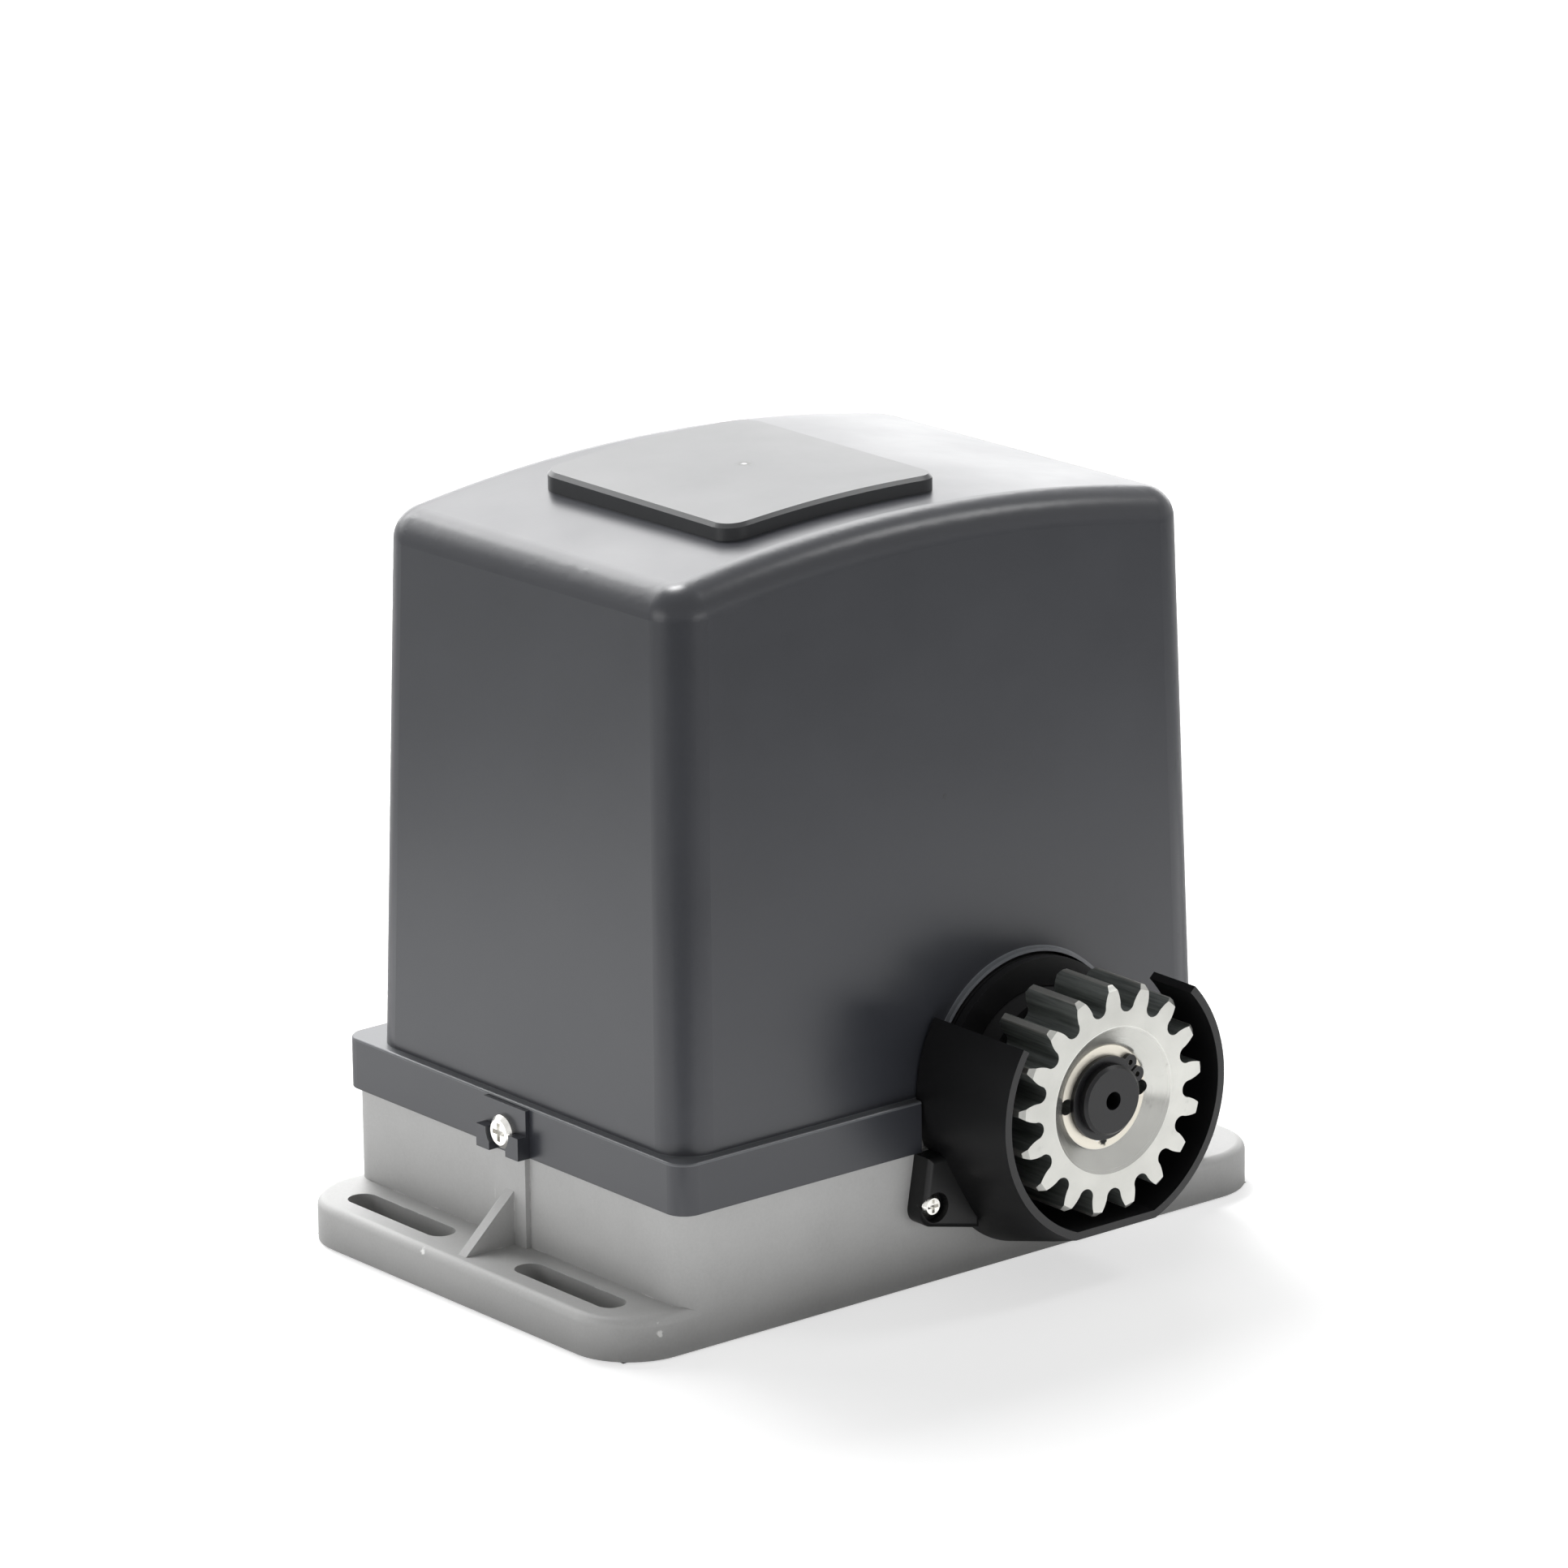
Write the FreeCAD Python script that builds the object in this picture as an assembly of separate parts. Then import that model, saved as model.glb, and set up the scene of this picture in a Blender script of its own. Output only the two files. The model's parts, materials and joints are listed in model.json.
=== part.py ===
import FreeCAD, Part
import math
import os

# Sliding gate motor. Millimetres, +Z up, +X along the gate, -Y towards the rack.
# The origin is the middle of the base's bottom face.

V = FreeCAD.Vector
X, Y, Z = V(1, 0, 0), V(0, 1, 0), V(0, 0, 1)

# Base housing
base_len = 271.0
base_depth = 172.0
flange_t = 14.0
flange_corner_r = 22.0
flange_edge_r = 3.0
slot_w = 10.0
slot_len = 51.0
slot_inset = 13.4
slot_pitch = 88.0
body_len = 219.4
body_corner_r = 8.0
wall = 4.5
floor_t = 5.0
lip_top = 59.0
lip_inset = 1.5
gusset_t = 4.0
gusset_reach = 21.5
gusset_rise = 19.5
strip_w = 16.0
pad_h = 8.0

# Cover
skirt_bottom = 45.0
skirt_top = 62.0
skirt_over = 1.9
skirt_proud = 1.5
skirt_corner_r = 7.0
skirt_edge_r = 0.8
cover_wall = 3.0
cover_gap = 0.4
end_ledge = 1.3
front_ledge = 2.2
back_ledge = 9.1
cover_corner_r = 13.0
draft_deg = 1.5
right_draft_deg = 0.9
roof_crown_x = -8.0
roof_crown_z = 248.5
roof_left_z = 238.9
roof_right_z = 235.8
roof_fall_deg = 0.93
roof_edge_r = 10.8
arch_r = 38.6
arch_bead = 1.2
tab_w = 21.6
tab_proud = 1.5
tab_top = 61.0
ear_proud = 4.8
ear_top = 52.5
ear_gap = 8.4

# Cover screws
cover_screw_z = 51.8
cover_head_r = 5.5
cover_head_h = 2.6
cover_screw_r = 2.4

# Top plate
plate_x0 = -63.5
plate_x1 = 22.8
plate_y0 = -55.8
plate_y1 = 41.0
plate_t = 5.8
plate_fall_deg = 0.3
plate_corner_r = 8.0
plate_edge = 1.2

# Pinion and the output shaft
axis_x = 31.6
axis_z = 61.8
teeth = 17
module = 4.0
pressure_deg = 20.0
pinion_w = 25.0
pinion_reach = 40.7
tip_chamfer = 1.6
dish_r = 24.0
hub_r = 17.0
dish_depth = 5.0
puller_hole_r = 2.6
puller_hole_at = 15.2
puller_hole_depth = 9.0
shaft_r = 11.5
journal_r = 12.5
rear_journal_r = 10.0
key_w = 6.0
key_rise = 2.6
key_sink = 3.4
ring_t = 1.5
ring_groove = 0.9
ring_rise = 2.2
ring_gap_deg = 33.0
ring_lug_deg = 11.0
ring_lug_r = 2.6
end_hole_r = 3.0
end_hole_depth = 16.0
spacer_t = 3.0
run_gap = 0.05
free_gap = 0.4

# Pinion guard
guard_r = 45.6
guard_t = 2.6
guard_reach = 41.8
guard_flat_z = 19.3
guard_left_deg = 146.0
guard_right_deg = 43.0
guard_step_deg = 26.0
guard_step_reach = 22.0
guard_plate_t = 3.0
guard_plate_r = 37.8
guard_low_r = 36.0
guard_low_z = 5.0
guard_ear_x = 45.8
guard_ear_z = 28.1
guard_ear_t = 8.0
guard_ear_side = 6.0
guard_ear_below = 5.4
guard_ear_lean = 3.8
guard_ear_fall = 5.8
guard_ear_corner_r = 5.0
guard_ear_edge_r = 1.8
guard_seat_t = 4.3
guard_head_r = 3.8
guard_head_h = 2.2
guard_bore_r = 5.0
guard_screw_r = 1.9

# Worm drive
drive_share = 0.375
wheel_teeth = 30
wheel_module = 2.5
wheel_w = 16.0
worm_pitch_r = 12.5
worm_len = 44.0
thread_backlash = 0.5
worm_core_gap = 0.7

# Gearbox
case_r = 50.0
case_wall = 4.5
chamber_r = 41.6
neck_r = 37.6
nose_r = 28.0
nose_reach = 11.0
front_bearing_r = 23.5
front_bearing_w = 12.0
seal_w = 7.0
rear_bearing_r = 21.0
rear_bearing_w = 12.0
gasket_t = 0.8
lid_t = 6.0
lid_boss_r = 25.0
lid_end_t = 2.5
lid_screw_r = 2.5
lid_screw_count = 5
lid_screw_bite = 7.0
lid_screw_pcd_r = 45.8
foot_t = 8.0
foot_x0 = -52.0
foot_x1 = 82.0
foot_front_set = 38.0
foot_screw_inset = 7.0
foot_screw_r = 3.0
worm_case_r = 22.0
worm_chamber_r = 16.4
small_bearing_r = 16.0
small_bearing_w = 10.0
small_journal_r = 6.0
motor_seat_t = 6.0
motor_seat_z = 119.0

# Clutch and hand release
sleeve_r = 20.0
sleeve_w = 16.0
dog_h = 4.0
dog_count = 4
clutch_travel = 4.0
clutch_key_w = 5.0
spring_r = 17.5
spring_wire = 1.6
spring_turns = 4
rod_r = 4.0
rod_tip_gap = 0.3
pivot_set = 22.0
pivot_r = 4.0
cam_low = 8.0
cam_t = 10.0
lever_z0 = 20.0
lever_z1 = 36.0
lever_len = 71.5
lever_t = 8.8
lever_hub_r = 8.0
pocket_x0 = -44.0
pocket_x1 = 56.0
pocket_depth = 33.0
pocket_z0 = 14.0
pocket_z1 = 42.0
pocket_wall = 4.0
lock_x = -34.0
lock_r = 5.5
lock_reach = 13.0
lock_blade_t = 2.4
lock_blade_w = 5.0

# Motor
motor_share = 0.3
frame_t = 3.5
frame_h = 76.0
end_plate_t = 6.0
stator_room = 24.0
core_t = 19.7
air_gap = 0.4
winding_h = 9.0
motor_shaft_r = 8.5
motor_bearing_r = 20.0
motor_bearing_w = 12.0
bell_h = 14.0
tie_r = 2.5
tie_out = 3.6
flange_hub_h = 8.0
core_slot_in = 3.0
core_slot_depth = 10.0
tie_lug_r = 5.5

# Electrics
bracket_left_set = 17.7
bracket_right_set = 11.7
bracket_set = 46.0
sheet_t = 1.5
bracket_top = 204.0
shelf_z = 116.0
shelf_gap = 8.8
window_below = 14.0
shelf_front_set = 9.0
shelf_lip = 8.0
bracket_foot = 16.0
bracket_foot_w = 30.0
board_x0 = -80.0
board_x1 = 70.0
board_z0 = 92.0
board_z1 = 196.0
board_t = 1.6
standoff = 5.5
board_screw_r = 1.5
trafo_w = 40.0
trafo_h = 40.0
trafo_core_w = 20.0
trafo_tray_w = 26.0
trafo_behind = 25.0
cap_behind = 74.0
tag_w = 6.0
tag_pitch = 14.0
tag_h = 9.0
sensor_w = 14.0
sensor_h = 18.0
cap_r = 19.0
cap_h = 70.0
clip_t = 1.2
clip_w = 12.0
terminal_pitch = 7.5
terminal_depth = 12.0
relay_len = 19.0
relay_depth = 15.0
relay_h = 16.0
fuse_len = 24.0
button_side = 12.0
button_base = 4.0
button_r = 3.0
button_h = 4.0
button_travel = 1.0
grommet_x = -75.0
grommet_y = 10.0
grommet_r = 16.0
grommet_hole_r = 11.0
grommet_lip = 2.5

# Sizes worked out from the ones above
body_x = body_len / 2
front_y = -base_depth / 2
foot_len = body_len - 2 * end_ledge
foot_front = base_depth / 2 - front_ledge
foot_back = base_depth / 2 - back_ledge
far_out = 2 * base_len
pinion_face_y = front_y - pinion_reach
guard_front_y = front_y - guard_reach
guard_step_y = front_y - guard_step_reach
drive_y = front_y + drive_share * base_depth
motor_r = motor_share * base_depth
tie_pcd_r = motor_r + tie_out
bore_r = motor_r - frame_t - core_t
stator_h = frame_h - stator_room
nose_y = front_y - nose_reach
foot_y0 = drive_y - foot_front_set
pivot_y = -front_y - pivot_set
pocket_y = -front_y - pocket_depth
bracket_x0 = bracket_left_set - body_len / 2
bracket_x1 = body_len / 2 - bracket_right_set
bracket_y = -front_y - bracket_set
lip_x = body_x - lip_inset
lip_y = base_depth / 2 - lip_inset - cover_gap
inner_x = body_x - wall
inner_y = base_depth / 2 - wall
skirt_x = body_x + skirt_over
skirt_y = base_depth / 2 + skirt_proud
pitch_r = teeth * module / 2
pinion_back_y = pinion_face_y + pinion_w
hub_y = pinion_face_y + dish_depth
shoulder_y = pinion_back_y + spacer_t
wheel_r = wheel_teeth * wheel_module / 2
worm_x = axis_x - wheel_r - worm_pitch_r
case_front_y = drive_y - wheel_w / 2 - 3.5 - case_wall
case_back_y = drive_y + worm_case_r + 1.0
lid_y = case_back_y + gasket_t
front_bearing_y = nose_y + seal_w
rear_bearing_y = lid_y + 2.0
lid_boss_y = rear_bearing_y + rear_bearing_w + lid_end_t
wheel_front_y = drive_y - wheel_w / 2
sleeve_y = wheel_front_y - free_gap - sleeve_w
rod_tip_y = pivot_y - cam_low - rod_tip_gap
motor_z = motor_seat_z
frame_z = motor_z + end_plate_t
bell_z = frame_z + frame_h
stator_z = frame_z + (frame_h - stator_h) / 2
board_y = bracket_y + sheet_t + standoff
shelf_x0 = worm_x + motor_r + shelf_gap
shelf_y0 = front_y + shelf_front_set
shelf_mid_x = (shelf_x0 + bracket_x1) / 2
trafo_y = bracket_y - trafo_behind
trafo_len = bracket_x1 - shelf_x0 - shelf_lip
cap_y = bracket_y - cap_behind


def box(x0, x1, y0, y1, z0, z1):
    return Part.makeBox(x1 - x0, y1 - y0, z1 - z0, V(x0, y0, z0))


def rod_x(y, z, r, x0, x1):
    return Part.makeCylinder(r, x1 - x0, V(x0, y, z), X)


def rod_y(x, z, r, y0, y1):
    return Part.makeCylinder(r, y1 - y0, V(x, y0, z), Y)


def rod_z(x, y, r, z0, z1):
    return Part.makeCylinder(r, z1 - z0, V(x, y, z0), Z)


def tube_z(x, y, r_out, r_in, z0, z1):
    return rod_z(x, y, r_out, z0, z1).cut(rod_z(x, y, r_in, z0 - 1, z1 + 1))


def tube_y(x, z, r_out, r_in, y0, y1):
    return rod_y(x, z, r_out, y0, y1).cut(rod_y(x, z, r_in, y0 - 1, y1 + 1))


def round_rect(x0, x1, y0, y1, r, z):
    """Closed wire of a rectangle with rounded corners at height z."""
    k = r * (1 - math.sqrt(0.5))
    return Part.Wire([
        Part.LineSegment(V(x0 + r, y0, z), V(x1 - r, y0, z)).toShape(),
        Part.Arc(V(x1 - r, y0, z), V(x1 - k, y0 + k, z), V(x1, y0 + r, z)).toShape(),
        Part.LineSegment(V(x1, y0 + r, z), V(x1, y1 - r, z)).toShape(),
        Part.Arc(V(x1, y1 - r, z), V(x1 - k, y1 - k, z), V(x1 - r, y1, z)).toShape(),
        Part.LineSegment(V(x1 - r, y1, z), V(x0 + r, y1, z)).toShape(),
        Part.Arc(V(x0 + r, y1, z), V(x0 + k, y1 - k, z), V(x0, y1 - r, z)).toShape(),
        Part.LineSegment(V(x0, y1 - r, z), V(x0, y0 + r, z)).toShape(),
        Part.Arc(V(x0, y0 + r, z), V(x0 + k, y0 + k, z), V(x0 + r, y0, z)).toShape(),
    ])


def prism(x0, x1, y0, y1, r, z0, z1):
    return Part.Face(round_rect(x0, x1, y0, y1, r, z0)).extrude(V(0, 0, z1 - z0))


def polygon(points):
    return Part.Face(Part.makePolygon(points + points[:1]))


def fuse(first, *others):
    return first.multiFuse(list(others)).removeSplitter()


def polar_y(r, degrees, y):
    """Point at a radius and angle round the output axis, angle 0 along +X, 90 up."""
    a = math.radians(degrees)
    return V(axis_x + r * math.cos(a), y, axis_z + r * math.sin(a))


def ring_copies(shape, centre, axis, count, first=0.0):
    """Copies of one solid, evenly turned round an axis."""
    copies = []
    for i in range(count):
        turned = shape.copy()
        turned.rotate(centre, axis, first + i * 360.0 / count)
        copies.append(turned)
    return copies


def edges_at_z(shape, z, tolerance=0.01):
    """Edges that lie wholly at one height."""
    return [e for e in shape.Edges
            if abs(e.BoundBox.ZMin - z) < tolerance and abs(e.BoundBox.ZMax - z) < tolerance]


# Base housing: flange, tub, lip for the cover, gussets, pads and release pocket

def slot_cutter(x, y):
    end = slot_len / 2 - slot_w / 2
    r = slot_w / 2
    return fuse(box(x - r, x + r, y - end, y + end, -1, flange_t + 1),
                rod_z(x, y - end, r, -1, flange_t + 1),
                rod_z(x, y + end, r, -1, flange_t + 1))


def gusset(side):
    foot = V(side * (body_x + gusset_reach), -gusset_t / 2, flange_t)
    heel = V(side * (body_x - 1), -gusset_t / 2, flange_t)
    top = V(side * (body_x - 1), -gusset_t / 2, flange_t + gusset_rise + 1)
    return polygon([foot, heel, top]).extrude(V(0, gusset_t, 0))


def make_base_housing():
    half = base_len / 2
    flange = prism(-half, half, front_y, -front_y, flange_corner_r, 0, flange_t)
    flange = flange.makeFillet(flange_edge_r, edges_at_z(flange, flange_t))
    ledge_z = skirt_bottom - 0.3
    body = prism(-body_x, body_x, front_y, -front_y, body_corner_r, 0, ledge_z)
    lip = prism(-lip_x, lip_x, -lip_y, lip_y, body_corner_r - lip_inset, ledge_z - 1, lip_top)
    strips = [box(side * body_x - 2 * skirt_over, side * body_x + 2 * skirt_over, -strip_w / 2,
                  strip_w / 2, flange_t - 1, ledge_z) for side in (-1, 1)]
    keep = box(-skirt_x, skirt_x, front_y, -front_y, 0, lip_top)
    strips = [s.common(keep) for s in strips]
    shell = fuse(flange, body, lip, gusset(-1), gusset(1), *strips)
    cavity = prism(-inner_x, inner_x, -inner_y, inner_y, body_corner_r - wall, floor_t, lip_top + 1)
    pocket_block = box(pocket_x0 - pocket_wall, pocket_x1 + pocket_wall, pocket_y - pocket_wall,
                       inner_y, floor_t, pocket_z1 + pocket_wall / 2)
    pads = [box(x - 8, x + 8, y - 7, y + 7, floor_t - 1, floor_t + pad_h)
            for x, y in foot_screw_places() + bracket_screw_places()]
    bosses = [rod_x(0, cover_screw_z, 6.0, *sorted((side * (inner_x + 1), side * (inner_x - 10))))
              for side in (-1, 1)]
    shell = shell.cut(cavity).multiFuse([pocket_block] + pads + bosses)
    pocket = box(pocket_x0, pocket_x1, pocket_y, -front_y + 1, pocket_z0, pocket_z1)
    keeper = box(pocket_x0 - pocket_wall - 1, pocket_x0 + 1, lock_blade_y() - 0.8,
                 lock_blade_y() + lock_blade_t + 0.8, lock_z() - 4, lock_z() + lock_reach)
    cuts = [pocket, keeper]
    cuts += [slot_cutter(sx * (half - slot_inset), sy * slot_pitch / 2)
             for sx in (-1, 1) for sy in (-1, 1)]
    cuts.append(rod_z(axis_x, pivot_y, pivot_r + run_gap, pocket_z0 - 5, pocket_z1 + pocket_wall))
    cuts.append(rod_z(grommet_x, grommet_y, grommet_r, -1, floor_t + 1))
    cuts.append(rod_y(axis_x, axis_z, neck_r + free_gap, front_y - 1, -inner_y + 1))
    cuts.append(box(axis_x - neck_r - free_gap, axis_x + neck_r + free_gap, front_y - 1,
                    -inner_y + 1, axis_z, axis_z + neck_r))
    for side in (-1, 1):
        ends = sorted((side * (skirt_x + 1), side * (inner_x - 9)))
        cuts.append(rod_x(0, cover_screw_z, cover_screw_r + run_gap, *ends))
        cuts.append(rod_y(axis_x + side * guard_ear_x, guard_ear_z, guard_screw_r + run_gap,
                          front_y - 1, front_y + 10))
    for x, y in foot_screw_places():
        cuts.append(rod_z(x, y, foot_screw_r + run_gap, floor_t + 1, floor_t + pad_h + 1))
    for x, y in bracket_screw_places():
        cuts.append(rod_z(x, y, board_screw_r + run_gap, floor_t + 1, floor_t + pad_h + 1))
    guard_bosses = [rod_y(axis_x + side * guard_ear_x, guard_ear_z, 5.0, -inner_y - 1, -inner_y + 6)
                    for side in (-1, 1)]
    return fuse(shell, *guard_bosses).cut(Part.makeCompound(cuts)).removeSplitter()


def foot_screw_places():
    xs = (foot_x0 + foot_screw_inset, foot_x1 - foot_screw_inset)
    ys = (foot_y0 + foot_screw_inset, case_back_y - foot_screw_inset)
    return [(x, y) for x in xs for y in ys]


def bracket_screw_places():
    y = bracket_y + bracket_foot / 2 + sheet_t
    return [(bracket_x0 + bracket_foot_w / 2, y), (bracket_x1 - bracket_foot_w / 2, y)]


# Cover: a drafted shell with an arched roof, a skirt, screw tabs and the shaft cut-out

def under_roof(lower, fall_deg):
    """Everything below the roof's arc, which falls a little from the front to the back."""
    x_out, y = skirt_x + roof_edge_r, -base_depth
    circle = Part.Arc(V(-foot_len / 2, y, roof_left_z), V(roof_crown_x, y, roof_crown_z),
                      V(foot_len / 2, y, roof_right_z)).toShape().Curve
    centre, r = circle.Center, circle.Radius - lower

    def at(x):
        return V(x, y, centre.z + math.sqrt(r * r - (x - centre.x) ** 2))
    low_left, low_right = V(-x_out, y, 0), V(x_out, y, 0)
    section = Part.Face(Part.Wire([Part.Arc(at(-x_out), at(0), at(x_out)).toShape(),
                                   Part.LineSegment(at(x_out), low_right).toShape(),
                                   Part.LineSegment(low_right, low_left).toShape(),
                                   Part.LineSegment(low_left, at(-x_out)).toShape()]))
    tool = section.extrude(V(0, 2 * base_depth, 0))
    tool.rotate(V(0, 0, roof_crown_z), X, -fall_deg)
    return tool


def drafted(inset, z0, z1):
    """Tapered block of the cover's walls, moved in by one amount."""
    wires = []
    r = cover_corner_r - inset
    for z in (z0, z1):
        lean, right_lean = (inset + (z - skirt_top) * math.tan(math.radians(angle))
                            for angle in (draft_deg, right_draft_deg))
        wires.append(round_rect(-foot_len / 2 + lean, foot_len / 2 - right_lean,
                                -foot_front + lean, foot_back - lean, r, z))
    return Part.makeLoft(wires, True, True)


def cover_block(inset, z0):
    """Solid block of the cover's form, moved in by one amount, and the edges of its roof."""
    block = drafted(inset, z0, roof_crown_z + 2 * roof_edge_r)
    block = block.common(under_roof(inset, roof_fall_deg))
    low = min(roof_left_z, roof_right_z) - 2 * roof_edge_r
    rim = [e for e in block.Edges if e.BoundBox.ZMin > low
           and max(e.BoundBox.XLength, e.BoundBox.YLength) > e.BoundBox.ZLength]
    return block, rim


def make_cover():
    outer, rim = cover_block(0, skirt_top - 1)
    outer = outer.makeFillet(roof_edge_r, rim)
    inner, inner_rim = cover_block(cover_wall, skirt_top - cover_wall - 1)
    inner = inner.makeChamfer(roof_edge_r / 2, inner_rim)
    skirt = prism(-skirt_x, skirt_x, -skirt_y, skirt_y, skirt_corner_r, skirt_bottom, skirt_top)
    skirt = skirt.makeFillet(skirt_edge_r, edges_at_z(skirt, skirt_top))
    room_x = lip_x + cover_gap
    room_y = lip_y + cover_gap
    room = prism(-room_x, room_x, -room_y, room_y, skirt_corner_r - cover_wall, skirt_bottom - 1,
                 skirt_top - cover_wall)
    tabs = []
    for side in (-1, 1):
        face = side * (skirt_x + tab_proud)
        tabs.append(box(*sorted((side * room_x, face)), -tab_w / 2, tab_w / 2, skirt_bottom, tab_top))
        lug = box(*sorted((side * skirt_x, face + side * (ear_proud - tab_proud))), -tab_w / 2,
                  tab_w / 2, skirt_bottom, ear_top)
        gap = box(*sorted((face, face + side * 10)), -ear_gap / 2, ear_gap / 2, 0, ear_top + 1)
        head = rod_x(0, cover_screw_z, cover_head_r + 0.4, *sorted((face, face + side * 10)))
        tabs.append(lug.cut(gap).cut(head))
    bead = tube_y(axis_x, axis_z, arch_r + arch_bead, arch_r, -foot_front - 1.0, -foot_front + 6)
    bead = bead.common(box(-skirt_x, skirt_x, -far_out, 0, skirt_top, far_out))
    shell = fuse(outer, skirt, bead, *tabs).cut(inner).cut(room)
    way = guard_r + 0.5
    arch_end = wall - foot_front + cover_corner_r
    cuts = [rod_y(axis_x, axis_z, arch_r, -far_out, arch_end),
            box(axis_x - arch_r, axis_x + arch_r, -far_out, arch_end, skirt_bottom - 1, axis_z),
            box(axis_x - way, axis_x + way, -far_out, -foot_front, skirt_bottom - 1,
                skirt_top + 0.01)]
    cuts += [rod_x(0, cover_screw_z, cover_screw_r + 0.3,
                   *sorted((side * inner_x, side * (skirt_x + 2 * ear_proud))))
             for side in (-1, 1)]
    return shell.cut(Part.makeCompound(cuts)).removeSplitter()


def make_top_plate():
    slab = prism(plate_x0, plate_x1, plate_y0, plate_y1, plate_corner_r, roof_right_z - plate_t,
                 roof_crown_z + 2 * plate_t)
    slab = slab.common(under_roof(-plate_t, plate_fall_deg)).cut(under_roof(0, roof_fall_deg))
    top = max(slab.Faces, key=lambda f: f.CenterOfMass.z)
    return slab.makeChamfer(plate_edge, top.Edges)


def cross_recess(centre, axis, side, size, depth):
    """Two crossed slots that cut a cross into a screw's head."""
    bar = Part.makeBox(size, size / 4, depth * 2, V(-size / 2, -size / 8, -depth))
    bars = [bar, bar.copy()]
    bars[1].rotate(V(0, 0, 0), Z, 90)
    cutter = bars[0].fuse(bars[1])
    cutter.Placement = FreeCAD.Placement(centre, FreeCAD.Rotation(Z, axis * side))
    return cutter


def make_cover_screws():
    screws = []
    for side in (-1, 1):
        seat = side * (skirt_x + tab_proud)
        shank = rod_x(0, cover_screw_z, cover_screw_r, *sorted((seat, side * (inner_x - 8))))
        head = rod_x(0, cover_screw_z, cover_head_r, *sorted((seat, seat + side * cover_head_h)))
        rim = [e for e in head.Edges if abs(e.CenterOfMass.x - seat - side * cover_head_h) < 0.01]
        head = head.makeChamfer(cover_head_h / 2, rim)
        cross = cross_recess(V(seat + side * cover_head_h, 0, cover_screw_z), X, side, 6.0, 1.4)
        screws.append(head.fuse(shank).cut(cross))
    return Part.makeCompound(screws)


# Pinion and what holds it on the shaft

def involute_angle(r, base_r):
    return math.sqrt((r / base_r) ** 2 - 1) - math.acos(base_r / r)


def gear_face(count, mod, y, cx, cz, first_deg):
    """Face of an involute spur gear, normal to Y, with one tooth centred at first_deg."""
    pitch = count * mod / 2
    tip, root = pitch + mod, pitch - 1.25 * mod
    base_r = pitch * math.cos(math.radians(pressure_deg))
    half = math.pi / (2 * count) + involute_angle(pitch, base_r) - 0.012
    low = max(base_r, root + 0.3 * mod)

    def at(r, angle):
        return V(cx + r * math.cos(angle), y, cz + r * math.sin(angle))

    edges = []
    mid = (low + tip) / 2
    half_low = half - involute_angle(low, base_r)
    half_mid = half - involute_angle(mid, base_r)
    half_tip = half - involute_angle(tip, base_r)
    for i in range(count):
        c = math.radians(first_deg) + i * 2 * math.pi / count
        following = c + 2 * math.pi / count
        edges.append(Part.Arc(at(low, c - half_low), at(mid, c - half_mid),
                              at(tip, c - half_tip)).toShape())
        edges.append(Part.Arc(at(tip, c - half_tip), at(tip, c), at(tip, c + half_tip)).toShape())
        edges.append(Part.Arc(at(tip, c + half_tip), at(mid, c + half_mid),
                              at(low, c + half_low)).toShape())
        edges.append(Part.Arc(at(low, c + half_low), at(root, (c + following) / 2),
                              at(low, following - half_low)).toShape())
    return Part.Face(Part.Wire(edges))


def make_pinion():
    face = gear_face(teeth, module, pinion_face_y, axis_x, axis_z, 90.0)
    gear = face.extrude(V(0, pinion_w, 0))
    tip = pitch_r + module
    profile = [(0, pinion_face_y), (tip - tip_chamfer, pinion_face_y),
               (tip, pinion_face_y + tip_chamfer), (tip, pinion_back_y - tip_chamfer),
               (tip - tip_chamfer, pinion_back_y), (0, pinion_back_y)]
    points = [V(axis_x + r, y, axis_z) for r, y in profile]
    blank = polygon(points).revolve(V(axis_x, 0, axis_z), Y, 360)
    dish = [(0, pinion_face_y - 1), (dish_r + 1.4, pinion_face_y - 1), (hub_r, hub_y), (0, hub_y)]
    dish = polygon([V(axis_x + r, y, axis_z) for r, y in dish])
    cuts = [dish.revolve(V(axis_x, 0, axis_z), Y, 360),
            rod_y(axis_x, axis_z, shaft_r, pinion_face_y - 1, pinion_back_y + 1),
            box(axis_x - key_w / 2, axis_x + key_w / 2, pinion_face_y - 1, pinion_back_y + 1,
                axis_z - shaft_r - key_rise, axis_z)]
    for side in (-1, 1):
        cuts.append(rod_y(axis_x + side * puller_hole_at, axis_z, puller_hole_r, pinion_face_y - 1,
                          hub_y + puller_hole_depth))
    return gear.common(blank).cut(Part.makeCompound(cuts)).removeSplitter()


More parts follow.
